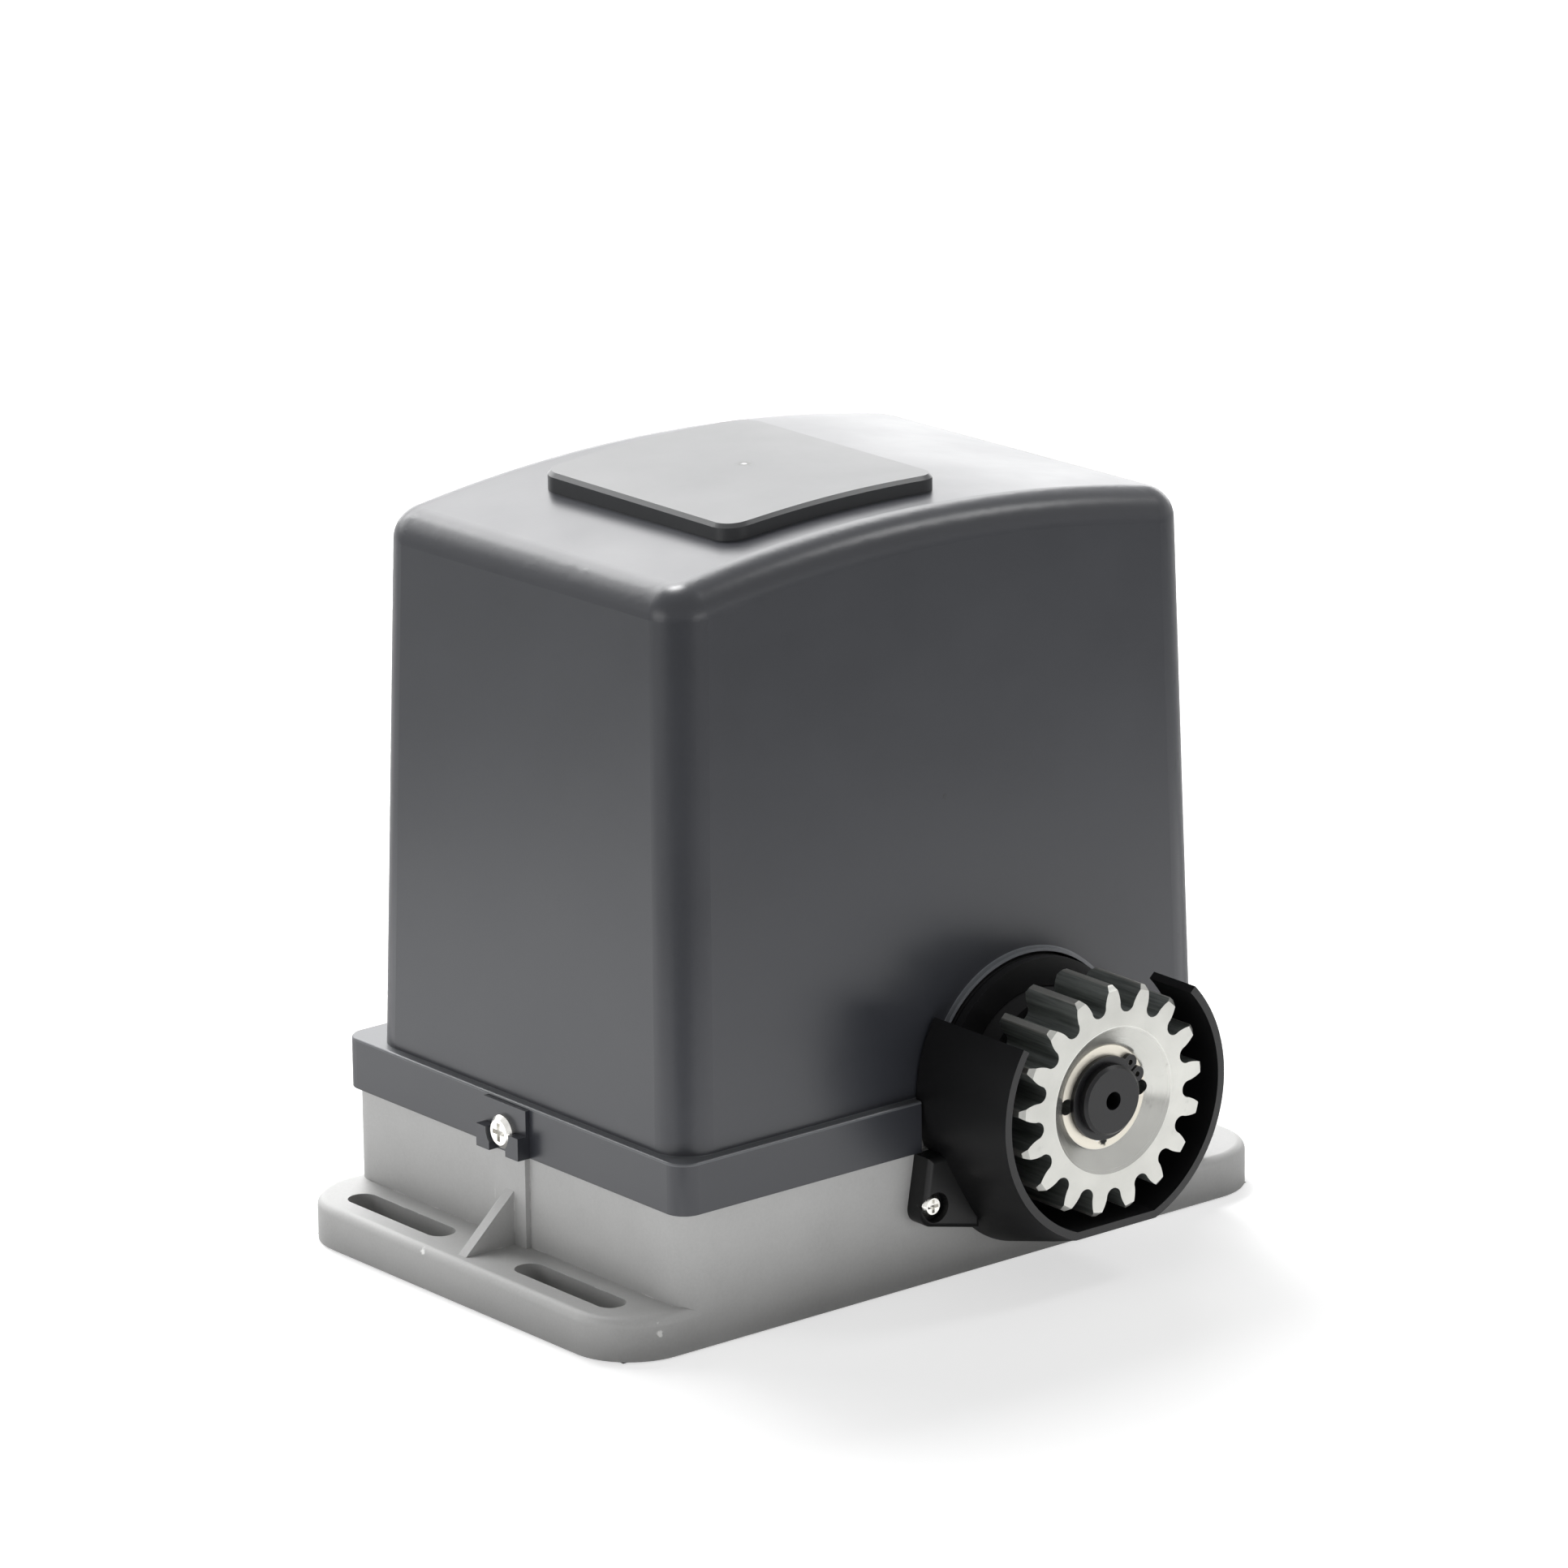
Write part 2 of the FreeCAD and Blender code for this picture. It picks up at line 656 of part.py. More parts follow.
def make_output_shaft():
    tail_y = rear_bearing_y + rear_bearing_w
    front = rod_y(axis_x, axis_z, shaft_r, pinion_face_y, shoulder_y)
    rim = [e for e in front.Edges if abs(e.CenterOfMass.y - pinion_face_y) < 0.01]
    front = front.makeChamfer(shaft_r / 12, rim)
    middle = rod_y(axis_x, axis_z, journal_r, shoulder_y, rear_bearing_y - 0.5)
    tail = rod_y(axis_x, axis_z, rear_journal_r, rear_bearing_y - 0.5, tail_y)
    shaft = fuse(front, middle, tail)
    groove_y = hub_y - ring_t - 0.1
    cuts = [tube_y(axis_x, axis_z, shaft_r + 1, shaft_r - ring_groove, groove_y - 0.05, hub_y),
            rod_y(axis_x, axis_z, end_hole_r, pinion_face_y - 1, pinion_face_y + end_hole_depth),
            box(axis_x - key_w / 2, axis_x + key_w / 2, hub_y, pinion_back_y,
                axis_z - shaft_r - 1, axis_z - shaft_r + key_sink),
            rod_y(axis_x, axis_z, rod_r + free_gap, key_slot_y()[0], tail_y + 1),
            box(axis_x - clutch_key_w / 2, axis_x + clutch_key_w / 2, *key_slot_y(),
                axis_z - 20, axis_z + 20)]
    return shaft.cut(Part.makeCompound(cuts)).removeSplitter()


def key_slot_y():
    """Ends of the shaft's cross slot: the clutch key's width, its travel and a gap."""
    middle = sleeve_y + sleeve_w / 2
    half = clutch_key_w / 2
    return middle - half - clutch_travel - free_gap, middle + half + run_gap


def make_pinion_key():
    return box(axis_x - key_w / 2, axis_x + key_w / 2, hub_y, pinion_back_y,
               axis_z - shaft_r - key_rise, axis_z - shaft_r + key_sink)


def make_retaining_ring():
    y0 = hub_y - ring_t - 0.1
    r_in, r_out = shaft_r - ring_groove + 0.02, shaft_r + ring_rise
    ring = tube_y(axis_x, axis_z, r_out, r_in, y0, y0 + ring_t)
    turns = (-ring_lug_deg, ring_lug_deg)
    ring = fuse(ring, *[rod_y(*lug_place(turn), ring_lug_r, y0, y0 + ring_t) for turn in turns])
    gap = polygon([polar_y(1, ring_gap_deg, y0 - 1), polar_y(r_out + 6, ring_gap_deg - 2, y0 - 1),
                   polar_y(r_out + 6, ring_gap_deg + 2, y0 - 1)]).extrude(V(0, ring_t + 2, 0))
    holes = [rod_y(*lug_place(turn), 0.9, y0 - 1, y0 + 3) for turn in turns]
    shaft_room = rod_y(axis_x, axis_z, r_in, y0 - 1, y0 + 3)
    return ring.cut(Part.makeCompound([gap, shaft_room] + holes)).removeSplitter()


def lug_place(turn):
    p = polar_y(shaft_r + ring_rise + 0.3, ring_gap_deg + turn, 0)
    return p.x, p.z


def make_spacer_sleeve():
    return tube_y(axis_x, axis_z, journal_r + 4, shaft_r + run_gap, pinion_back_y, shoulder_y)


# Pinion guard and its screws

def guard_ear(side):
    """Thick ear of the guard, with a leaning outer edge and a rounded low corner."""
    inner, outer = guard_ear_x * 0.6, guard_ear_x + guard_ear_side
    low = guard_ear_z - guard_ear_below
    top = skirt_bottom - free_gap
    y0 = front_y - guard_ear_t
    outline = [(outer - guard_ear_lean, top), (outer, low), (inner, low - guard_ear_fall), (inner, top)]
    points = [V(axis_x + side * x, y0, z) for x, z in outline]
    ear = polygon(points).extrude(V(0, guard_ear_t, 0))
    corner = [e for e in ear.Edges if e.BoundBox.YLength > 1
              and abs(e.CenterOfMass.x - points[1].x) < 0.01]
    ear = ear.makeFillet(guard_ear_corner_r, corner)
    return ear.makeFillet(guard_ear_edge_r, [e for e in ear.Edges if e.BoundBox.YMax < y0 + 0.01])


def guard_lean():
    """Angle under the level at which the guard's back outline leaves its upper circle."""
    return math.degrees(math.asin((guard_r - guard_low_r) / (axis_z - guard_low_z - guard_low_r)))


def guard_rim():
    """Front outline of the guard: one circle, split where the back outline has its corners."""
    y, lean = guard_front_y, guard_lean()
    stops = [-lean, 180 + lean, 228, 312, 360 - lean]
    return Part.Wire([Part.Arc(polar_y(guard_r, a, y), polar_y(guard_r, (a + b) / 2, y),
                               polar_y(guard_r, b, y)).toShape() for a, b in zip(stops, stops[1:])])


def guard_back_outline():
    """Back outline of the guard: the circle drawn out to a lower, smaller arc."""
    y, lean = front_y, guard_lean()
    drop = V(0, 0, guard_low_z + guard_low_r - axis_z)
    left, right = polar_y(guard_r, 180 + lean, y), polar_y(guard_r, -lean, y)
    low_left, low, low_right = (polar_y(guard_low_r, a, y) + drop for a in (180 + lean, 270, -lean))
    return Part.Wire([Part.Arc(right, polar_y(guard_r, 90, y), left).toShape(),
                      Part.LineSegment(left, low_left).toShape(),
                      Part.Arc(low_left, low, low_right).toShape(),
                      Part.LineSegment(low_right, right).toShape()])


def wedge(from_deg, to_deg, y0, y1):
    """Sector round the output axis, larger than the guard, turning up from one angle."""
    steps = 6
    points = [V(axis_x, y0, axis_z)]
    for i in range(steps + 1):
        points.append(polar_y(guard_r * 1.6, from_deg + (to_deg - from_deg) * i / steps, y0))
    return polygon(points).extrude(V(0, y1 - y0, 0))


def make_pinion_guard():
    back_y = -foot_front - 0.6
    inner_r = guard_r - guard_t
    plate_y = front_y - guard_plate_t
    flare = Part.makeLoft([guard_rim(), guard_back_outline()], True, True)
    under = [V(-far_out, guard_front_y, guard_flat_z), V(-far_out, front_y, guard_low_z - 1),
             V(-far_out, front_y, -far_out), V(-far_out, guard_front_y, -far_out)]
    flare = flare.cut(polygon(under).extrude(V(2 * far_out, 0, 0)))
    outside = fuse(flare, rod_y(axis_x, axis_z, guard_r, front_y - guard_ear_t, back_y))
    floor_z = guard_flat_z + guard_t
    inside = rod_y(axis_x, axis_z, inner_r, guard_front_y - 1, back_y + 1)
    inside = inside.cut(box(-far_out, far_out, -far_out, 0, -far_out, floor_z))
    disc = rod_y(axis_x, axis_z, guard_plate_r, plate_y, front_y)
    ears = [guard_ear(side) for side in (-1, 1)]
    in_front = inside.common(box(-far_out, far_out, -far_out, plate_y, -far_out, far_out))
    above = inside.common(box(-far_out, far_out, plate_y, 0, axis_z, far_out))
    behind = inside.common(box(-far_out, far_out, front_y, 0, -far_out, far_out))
    below = box(-far_out, far_out, front_y, 0, -far_out, skirt_bottom + 0.5)
    cuts = [in_front, above, behind, below,
            wedge(guard_right_deg, guard_left_deg, guard_front_y - 1, back_y + 1),
            wedge(guard_step_deg, guard_right_deg + 1, guard_step_y, back_y + 1)]
    guard = fuse(outside, *ears).cut(Part.makeCompound(cuts))
    guard = guard.fuse(disc)
    holes = [rod_y(axis_x, axis_z, nose_r + free_gap, -far_out, 0)]
    for side in (-1, 1):
        x = axis_x + side * guard_ear_x
        holes.append(rod_y(x, guard_ear_z, guard_screw_r + 0.3, -far_out, 0))
        holes.append(rod_y(x, guard_ear_z, guard_bore_r, -far_out, front_y - guard_seat_t))
    return guard.cut(Part.makeCompound(holes)).removeSplitter()


def make_guard_screws():
    screws = []
    seat = front_y - guard_seat_t
    for side in (-1, 1):
        x = axis_x + side * guard_ear_x
        head = rod_y(x, guard_ear_z, guard_head_r, seat - guard_head_h, seat)
        rim = [e for e in head.Edges if abs(e.CenterOfMass.y - seat + guard_head_h) < 0.01]
        head = head.makeChamfer(guard_head_h / 2, rim)
        top = V(x, seat - guard_head_h, guard_ear_z)
        cross = cross_recess(top, Y, -1, guard_head_r * 1.15, guard_head_h / 2)
        shank = rod_y(x, guard_ear_z, guard_screw_r, seat, front_y + 2 * wall)
        screws.append(head.fuse(shank).cut(cross))
    return Part.makeCompound(screws)


# Gearbox: case with the front neck, gasket, lid, seal and bearings

def lid_screw_places():
    places = []
    for i in range(lid_screw_count):
        p = polar_y(lid_screw_pcd_r, 90 + i * 360.0 / lid_screw_count, 0)
        places.append((p.x, p.z))
    return places


def make_gearbox_body():
    bottom = floor_t + pad_h
    foot = prism(foot_x0, foot_x1, foot_y0, case_back_y, 5.0, bottom, bottom + foot_t)
    case = rod_y(axis_x, axis_z, case_r, case_front_y, case_back_y)
    neck = rod_y(axis_x, axis_z, neck_r, front_y + 1, case_front_y)
    nose = rod_y(axis_x, axis_z, nose_r, nose_y, front_y + 1)
    tower = rod_z(worm_x, drive_y, worm_case_r, bottom, motor_seat_z)
    seat = rod_z(worm_x, drive_y, motor_r, motor_seat_z - motor_seat_t, motor_seat_z)
    lugs = tie_lugs(motor_seat_z - motor_seat_t, motor_seat_z)
    saddle = box(axis_x - 20, axis_x + 20, foot_y0 + 4, case_front_y, bottom, axis_z - 20)
    body = fuse(foot, case, neck, nose, tower, seat, saddle, *lugs)
    body = body.cut(box(-far_out, far_out, -far_out, far_out, -far_out, bottom))
    cuts = [rod_y(axis_x, axis_z, chamber_r, case_front_y + case_wall, case_back_y + 1),
            rod_y(axis_x, axis_z, front_bearing_r, front_bearing_y, case_front_y + case_wall + 1),
            rod_y(axis_x, axis_z, journal_r + 6, nose_y - 1, front_bearing_y + 1),
            rod_z(worm_x, drive_y, small_bearing_r, worm_bearing_z(), motor_seat_z + 1),
            rod_z(worm_x, drive_y, worm_chamber_r, worm_bearing_z() + small_bearing_w,
                  motor_seat_z + 1)]
    cuts += [rod_y(x, z, lid_screw_r + run_gap, case_back_y - lid_screw_bite - 1, case_back_y + 1)
             for x, z in lid_screw_places()]
    cuts += [rod_z(x, y, foot_screw_r + 0.3, 0, bottom + 2 * foot_t) for x, y in foot_screw_places()]
    cuts += tie_holes(motor_seat_z - motor_seat_t - 1, motor_seat_z + 1)
    return body.cut(Part.makeCompound(cuts)).removeSplitter()


def worm_bearing_z():
    return axis_z - worm_len / 2 - small_bearing_w - 4


def make_gearbox_gasket():
    plate = rod_y(axis_x, axis_z, case_r, case_back_y, lid_y)
    plate = plate.cut(box(-far_out, far_out, -far_out, far_out, -far_out, floor_t + pad_h))
    holes = [rod_y(x, z, lid_screw_r + 0.3, -far_out, far_out) for x, z in lid_screw_places()]
    holes.append(rod_y(axis_x, axis_z, chamber_r, -far_out, far_out))
    return plate.cut(Part.makeCompound(holes))


def make_gearbox_cover():
    plate = rod_y(axis_x, axis_z, case_r, lid_y, lid_y + lid_t)
    boss = rod_y(axis_x, axis_z, lid_boss_r, lid_y + lid_t, lid_boss_y)
    ribs = []
    for i in range(6):
        rib = box(axis_x + lid_boss_r - 2, axis_x + case_r - 9, lid_y + lid_t, lid_y + lid_t + 4,
                  axis_z - 1.5, axis_z + 1.5)
        rib.rotate(V(axis_x, 0, axis_z), Y, 60 * i)
        ribs.append(rib)
    lid = fuse(plate, boss, *ribs)
    lid = lid.cut(box(-far_out, far_out, -far_out, far_out, -far_out, floor_t + pad_h))
    cuts = [rod_y(axis_x, axis_z, rear_bearing_r, lid_y - 1, rear_bearing_y + rear_bearing_w),
            rod_y(axis_x, axis_z, rod_r + run_gap, lid_y, lid_boss_y + 1)]
    cuts += [rod_y(x, z, lid_screw_r + 0.3, lid_y - 1, lid_y + lid_t + 1)
             for x, z in lid_screw_places()]
    return lid.cut(Part.makeCompound(cuts)).removeSplitter()


def hex_screw(base, direction, r, head_h, length):
    """Hexagon-head screw whose head stands on base and whose shank runs against direction."""
    points = []
    for i in range(6):
        a = math.radians(60 * i)
        points.append(V(r * 1.8 * math.cos(a), r * 1.8 * math.sin(a), 0))
    head = polygon(points).extrude(V(0, 0, head_h))
    screw = head.fuse(Part.makeCylinder(r, length, V(0, 0, -length), Z))
    screw.Placement = FreeCAD.Placement(base, FreeCAD.Rotation(Z, direction))
    return screw


def make_gearbox_screws():
    seat = lid_y + lid_t
    length = seat - case_back_y + lid_screw_bite
    return Part.makeCompound([hex_screw(V(x, seat, z), Y, lid_screw_r, 3.5, length)
                              for x, z in lid_screw_places()])


def make_foot_screws():
    seat = floor_t + pad_h + foot_t
    return Part.makeCompound([hex_screw(V(x, y, seat), Z, foot_screw_r, 4.0, foot_t + pad_h - 2)
                              for x, y in foot_screw_places()])


def make_oil_seal():
    ring = tube_y(axis_x, axis_z, journal_r + 6, journal_r + 0.3, nose_y, front_bearing_y)
    groove = tube_y(axis_x, axis_z, journal_r + 4.4, journal_r + 1.8, nose_y - 1, nose_y + 3)
    return ring.cut(groove)


def bearing_y(r_in, r_out, y0, width):
    """Ball bearing as its closed outline, with a shield groove on both faces."""
    ring = tube_y(axis_x, axis_z, r_out, r_in, y0, y0 + width)
    lane = (r_out - r_in) / 4
    grooves = [tube_y(axis_x, axis_z, r_out - lane, r_in + lane, y0 - 1, y0 + 0.8),
               tube_y(axis_x, axis_z, r_out - lane, r_in + lane, y0 + width - 0.8, y0 + width + 1)]
    return ring.cut(Part.makeCompound(grooves))


def bearing_z(r_in, r_out, z0, width):
    ring = tube_z(worm_x, drive_y, r_out, r_in, z0, z0 + width)
    lane = (r_out - r_in) / 4
    grooves = [tube_z(worm_x, drive_y, r_out - lane, r_in + lane, z0 - 1, z0 + 0.8),
               tube_z(worm_x, drive_y, r_out - lane, r_in + lane, z0 + width - 0.8, z0 + width + 1)]
    return ring.cut(Part.makeCompound(grooves))


# Worm drive, with the wheel's teeth leaned by the worm's lead

def wheel_wire(y, turn):
    """Wheel outline with straight-sided teeth, turned round the output axis."""
    step = 2 * math.pi / wheel_teeth
    root = wheel_r - 1.2 * wheel_module
    tip = wheel_r + 0.95 * wheel_module
    pitch_half = (math.pi * wheel_module / 2 - thread_backlash) / 2
    root_half = (pitch_half + 1.2 * wheel_module * math.tan(math.radians(15))) / root
    tip_half = (pitch_half - 0.95 * wheel_module * math.tan(math.radians(25))) / tip
    points = []
    for i in range(wheel_teeth):
        c = math.pi + i * step - turn
        for r, a in ((root, -root_half), (tip, -tip_half), (tip, tip_half), (root, root_half)):
            points.append(V(axis_x + r * math.cos(c + a), y, axis_z + r * math.sin(c + a)))
    return Part.makePolygon(points + points[:1])


def make_worm_wheel():
    lean = wheel_module / (2 * worm_pitch_r)
    turn = lean * (wheel_w / 2) / wheel_r
    y0, y1 = wheel_front_y, drive_y + wheel_w / 2
    rim = Part.makeLoft([wheel_wire(y0, -turn), wheel_wire(y1, turn)], True, True)
    web = tube_y(axis_x, axis_z, wheel_r - 9, journal_r + 6, y0 - 1, y0 + 3.5)
    web_back = tube_y(axis_x, axis_z, wheel_r - 9, journal_r + 6, y1 - 3.5, y1 + 1)
    cuts = [rod_y(axis_x, axis_z, journal_r, y0 - 1, y1 + 1), web, web_back]
    cuts += dog_slots()
    return rim.cut(Part.makeCompound(cuts)).removeSplitter()


def dog_ring(y0, y1, r_in, r_out, half_deg):
    """Evenly spaced blocks that stand round the output axis."""
    ring = tube_y(axis_x, axis_z, r_out, r_in, y0, y1)
    blocks = []
    for i in range(dog_count):
        a = 45 + i * 360.0 / dog_count
        sector = polygon([V(axis_x, y0, axis_z), polar_y(40, a - half_deg, y0),
                          polar_y(40, a + half_deg, y0)]).extrude(V(0, y1 - y0, 0))
        blocks.append(ring.common(sector))
    return blocks


def dog_slots():
    return dog_ring(wheel_front_y - 0.01, wheel_front_y + dog_h, journal_r - 0.5, sleeve_r + 0.4, 16)


def make_clutch_sleeve():
    y1 = sleeve_y + sleeve_w
    sleeve = tube_y(axis_x, axis_z, sleeve_r, journal_r + run_gap, sleeve_y, y1)
    dogs = dog_ring(y1 - 0.5, wheel_front_y + dog_h - 0.6, journal_r + 0.5, sleeve_r, 13)
    cut = box(axis_x - clutch_key_w / 2, axis_x + clutch_key_w / 2, sleeve_y + sleeve_w / 2 -
              clutch_key_w / 2, sleeve_y + sleeve_w / 2 + clutch_key_w / 2, axis_z - 16, axis_z + 16)
    seat = tube_y(axis_x, axis_z, spring_r + spring_wire, journal_r, sleeve_y - 1, sleeve_y + 2)
    return fuse(sleeve, *dogs).cut(cut).cut(seat).removeSplitter()


def make_clutch_key():
    half = clutch_key_w / 2
    middle = sleeve_y + sleeve_w / 2
    return box(axis_x - half, axis_x + half, middle - half, middle + half, axis_z - 15.9,
               axis_z + 15.9)


def spring_ends():
    return front_bearing_y + front_bearing_w, sleeve_y + 2


def make_clutch_spring():
    y0, y1 = spring_ends()
    mean = spring_r - 1.2
    half = spring_wire / 2
    pitch = (y1 - y0 - spring_wire - 0.6) / spring_turns
    helix = Part.makeHelix(pitch, pitch * spring_turns, mean)
    corners = [V(mean + sx * half, 0, sz * half) for sx, sz in ((-1, -1), (1, -1), (1, 1), (-1, 1))]
    section = Part.makePolygon(corners + corners[:1])
    coil = Part.Wire(helix).makePipeShell([section], True, True)
    coil.Placement = FreeCAD.Placement(V(axis_x, y0 + half + 0.3, axis_z), FreeCAD.Rotation(Z, Y))
    return coil


def thread_section():
    """Trapezoid of the worm's thread at the start of its helix."""
    core = worm_core_r() - 0.4
    tip = worm_pitch_r + 0.95 * wheel_module
    slope = math.tan(math.radians(20))
    pitch_half = (math.pi * wheel_module / 2 - thread_backlash) / 2
    core_half = pitch_half + (worm_pitch_r - core) * slope
    tip_half = pitch_half - (tip - worm_pitch_r) * slope
    points = [V(core, 0, -core_half), V(tip, 0, -tip_half), V(tip, 0, tip_half),
              V(core, 0, core_half)]
    return Part.makePolygon(points + points[:1])


def worm_core_r():
    return worm_pitch_r - wheel_module - worm_core_gap


def make_worm_shaft():
    lead = math.pi * wheel_module
    turns = 5
    helix = Part.makeHelix(lead, lead * turns, worm_pitch_r)
    thread = Part.Wire(helix).makePipeShell([thread_section()], True, True)
    thread.translate(V(worm_x, drive_y, axis_z - lead * turns / 2))
    z0 = axis_z - worm_len / 2
    top = bell_z + bell_h - 3
    core = rod_z(worm_x, drive_y, worm_core_r(), z0, z0 + worm_len)
    tail = rod_z(worm_x, drive_y, small_journal_r, worm_bearing_z() + 0.5, z0)
    collar = rod_z(worm_x, drive_y, motor_shaft_r + 3, z0 + worm_len, frame_z - 8)
    stem = rod_z(worm_x, drive_y, motor_shaft_r, frame_z - 8, bell_z)
    head = rod_z(worm_x, drive_y, small_journal_r, bell_z, top)
    return fuse(core, tail, collar, stem, head, thread)


# Motor

def tie_places():
    a = tie_pcd_r * math.sqrt(0.5)
    return [(worm_x + sx * a, drive_y + sy * a) for sx in (-1, 1) for sy in (-1, 1)]


def tie_lugs(z0, z1):
    return [rod_z(x, y, tie_lug_r, z0, z1) for x, y in tie_places()]


def tie_holes(z0, z1):
    return [rod_z(x, y, tie_r + run_gap, z0, z1) for x, y in tie_places()]


def make_motor_flange():
    plate = fuse(rod_z(worm_x, drive_y, motor_r, motor_z, frame_z), *tie_lugs(motor_z, frame_z))
    hub_top = frame_z + flange_hub_h
    hub = rod_z(worm_x, drive_y, motor_bearing_r + 3, frame_z, hub_top)
    spigot = rod_z(worm_x, drive_y, motor_r - frame_t - 0.1, frame_z, frame_z + 2)
    cuts = [rod_z(worm_x, drive_y, motor_shaft_r + 3.6, motor_z - 1, hub_top + 2),
            rod_z(worm_x, drive_y, motor_bearing_r, frame_z - 4, hub_top + 2)]
    cuts += tie_holes(motor_z - 1, frame_z + 1)
    return fuse(plate, hub, spigot).cut(Part.makeCompound(cuts)).removeSplitter()


def make_motor_frame():
    frame = tube_z(worm_x, drive_y, motor_r, motor_r - frame_t, frame_z, bell_z)
    grooves = [tube_z(worm_x, drive_y, motor_r + 1, motor_r - 0.6, z, z + 3)
               for z in (frame_z + 8, bell_z - 11)]
    return frame.cut(Part.makeCompound(grooves))


def make_stator_core():
    core = tube_z(worm_x, drive_y, motor_r - frame_t, bore_r, stator_z, stator_z + stator_h)
    slot_x = worm_x + bore_r + core_slot_in
    slot = box(slot_x, slot_x + core_slot_depth, drive_y - 1.6, drive_y + 1.6,
               stator_z - 1, stator_z + stator_h + 1)
    return core.cut(Part.makeCompound(ring_copies(slot, V(worm_x, drive_y, 0), Z, 12)))


def make_stator_windings():
    coils = []
    for z in (stator_z - winding_h, stator_z + stator_h):
        ring = tube_z(worm_x, drive_y, bore_r + 15, bore_r + 3, z, z + winding_h)
        far = z if z < stator_z else z + winding_h
        coils.append(ring.makeChamfer(3.0, edges_at_z(ring, far)))
    return Part.makeCompound(coils)


def make_rotor_core():
    core = tube_z(worm_x, drive_y, bore_r - air_gap, motor_shaft_r, stator_z, stator_z + stator_h)
    ends = [tube_z(worm_x, drive_y, bore_r - 3, motor_shaft_r + 7, z, z + 4)
            for z in (stator_z - 4, stator_z + stator_h)]
    return fuse(core, *ends)


def make_motor_end_bell():
    top = bell_z + bell_h
    dome = fuse(rod_z(worm_x, drive_y, motor_r, bell_z, bell_z + end_plate_t),
                Part.makeCone(motor_r - 6, motor_bearing_r + 2, bell_h - end_plate_t,
                              V(worm_x, drive_y, bell_z + end_plate_t), Z),
                *tie_lugs(bell_z, bell_z + end_plate_t))
    cuts = [rod_z(worm_x, drive_y, small_bearing_r, bell_z - 1, top - 2),
            rod_z(worm_x, drive_y, small_journal_r + 0.5, bell_z, top + 1)]
    cuts += tie_holes(bell_z - 1, top)
    return dome.cut(Part.makeCompound(cuts)).removeSplitter()


def make_motor_bolts():
    seat = bell_z + end_plate_t
    length = seat - motor_seat_z + motor_seat_t
    return Part.makeCompound([hex_screw(V(x, y, seat), Z, tie_r, 3.5, length)
                              for x, y in tie_places()])


# Hand release: rod, cam shaft, lever and lock

def make_release_rod():
    start = sleeve_y + sleeve_w / 2 + clutch_key_w / 2 + 0.1
    rod = rod_y(axis_x, axis_z, rod_r, start, rod_tip_y - rod_r)
    return fuse(rod, Part.makeSphere(rod_r, V(axis_x, rod_tip_y - rod_r, axis_z)))


def make_release_cam():
    """Upright shaft with a spiral cam, whose radius grows evenly over a quarter turn."""
    z0, z1 = axis_z - cam_t / 2, axis_z + cam_t / 2
    shaft = rod_z(axis_x, pivot_y, pivot_r, pocket_z0 - 4, z1)
    steps = 14
    points = [V(axis_x, pivot_y, z0)]
    for i in range(steps + 1):
        degrees = -20 + 125 * i / steps
        r = cam_low + clutch_travel * max(0.0, degrees) / 90.0
        a = math.radians(degrees - 90)
        points.append(V(axis_x + r * math.cos(a), pivot_y + r * math.sin(a), z0))
    return fuse(shaft, polygon(points).extrude(V(0, 0, z1 - z0)))


def lever_y():
    """Inner and outer face of the handle, just inside the base's back wall."""
    return -front_y - 1.2 - lever_t, -front_y - 1.2


def make_release_lever():
    y0, y1 = lever_y()
    hub = rod_z(axis_x, pivot_y, lever_hub_r, lever_z0, lever_z1)
    arm = box(axis_x - lever_hub_r, axis_x + lever_hub_r, pivot_y, y1, lever_z0, lever_z1)
    handle = box(axis_x - lever_len, axis_x + lever_hub_r, y0, y1, lever_z0, lever_z1)
    lever = fuse(hub, arm, handle)
    long_edges = [e for e in lever.Edges
                  if abs(e.BoundBox.YMax - y1) < 0.01 and e.BoundBox.YLength < 0.01]
    lever = lever.makeFillet(1.2, long_edges)
    cuts = [rod_z(axis_x, pivot_y, pivot_r, 0, far_out),
            rod_y(lock_x, lock_z(), lock_r + run_gap, y0 - 1, y1 + 1)]
    return lever.cut(Part.makeCompound(cuts)).removeSplitter()


def lock_z():
    return (lever_z0 + lever_z1) / 2


def lock_blade_y():
    return lever_y()[0] - lock_blade_t - 0.1


def make_lock_cylinder():
    y1 = lever_y()[1]
    barrel = rod_y(lock_x, lock_z(), lock_r, lock_blade_y() + lock_blade_t, y1 + 0.4)
    half = lock_blade_w / 2
    blade = box(lock_x - half, lock_x + half, lock_blade_y(), lock_blade_y() + lock_blade_t,
                lock_z() - half, lock_z() + lock_reach)
    keyhole = box(lock_x - 0.6, lock_x + 0.6, y1 - 3, y1 + 1, lock_z() - 3.4, lock_z() + 3.4)
    return fuse(barrel, blade).cut(keyhole)


# Electrics on a folded sheet bracket

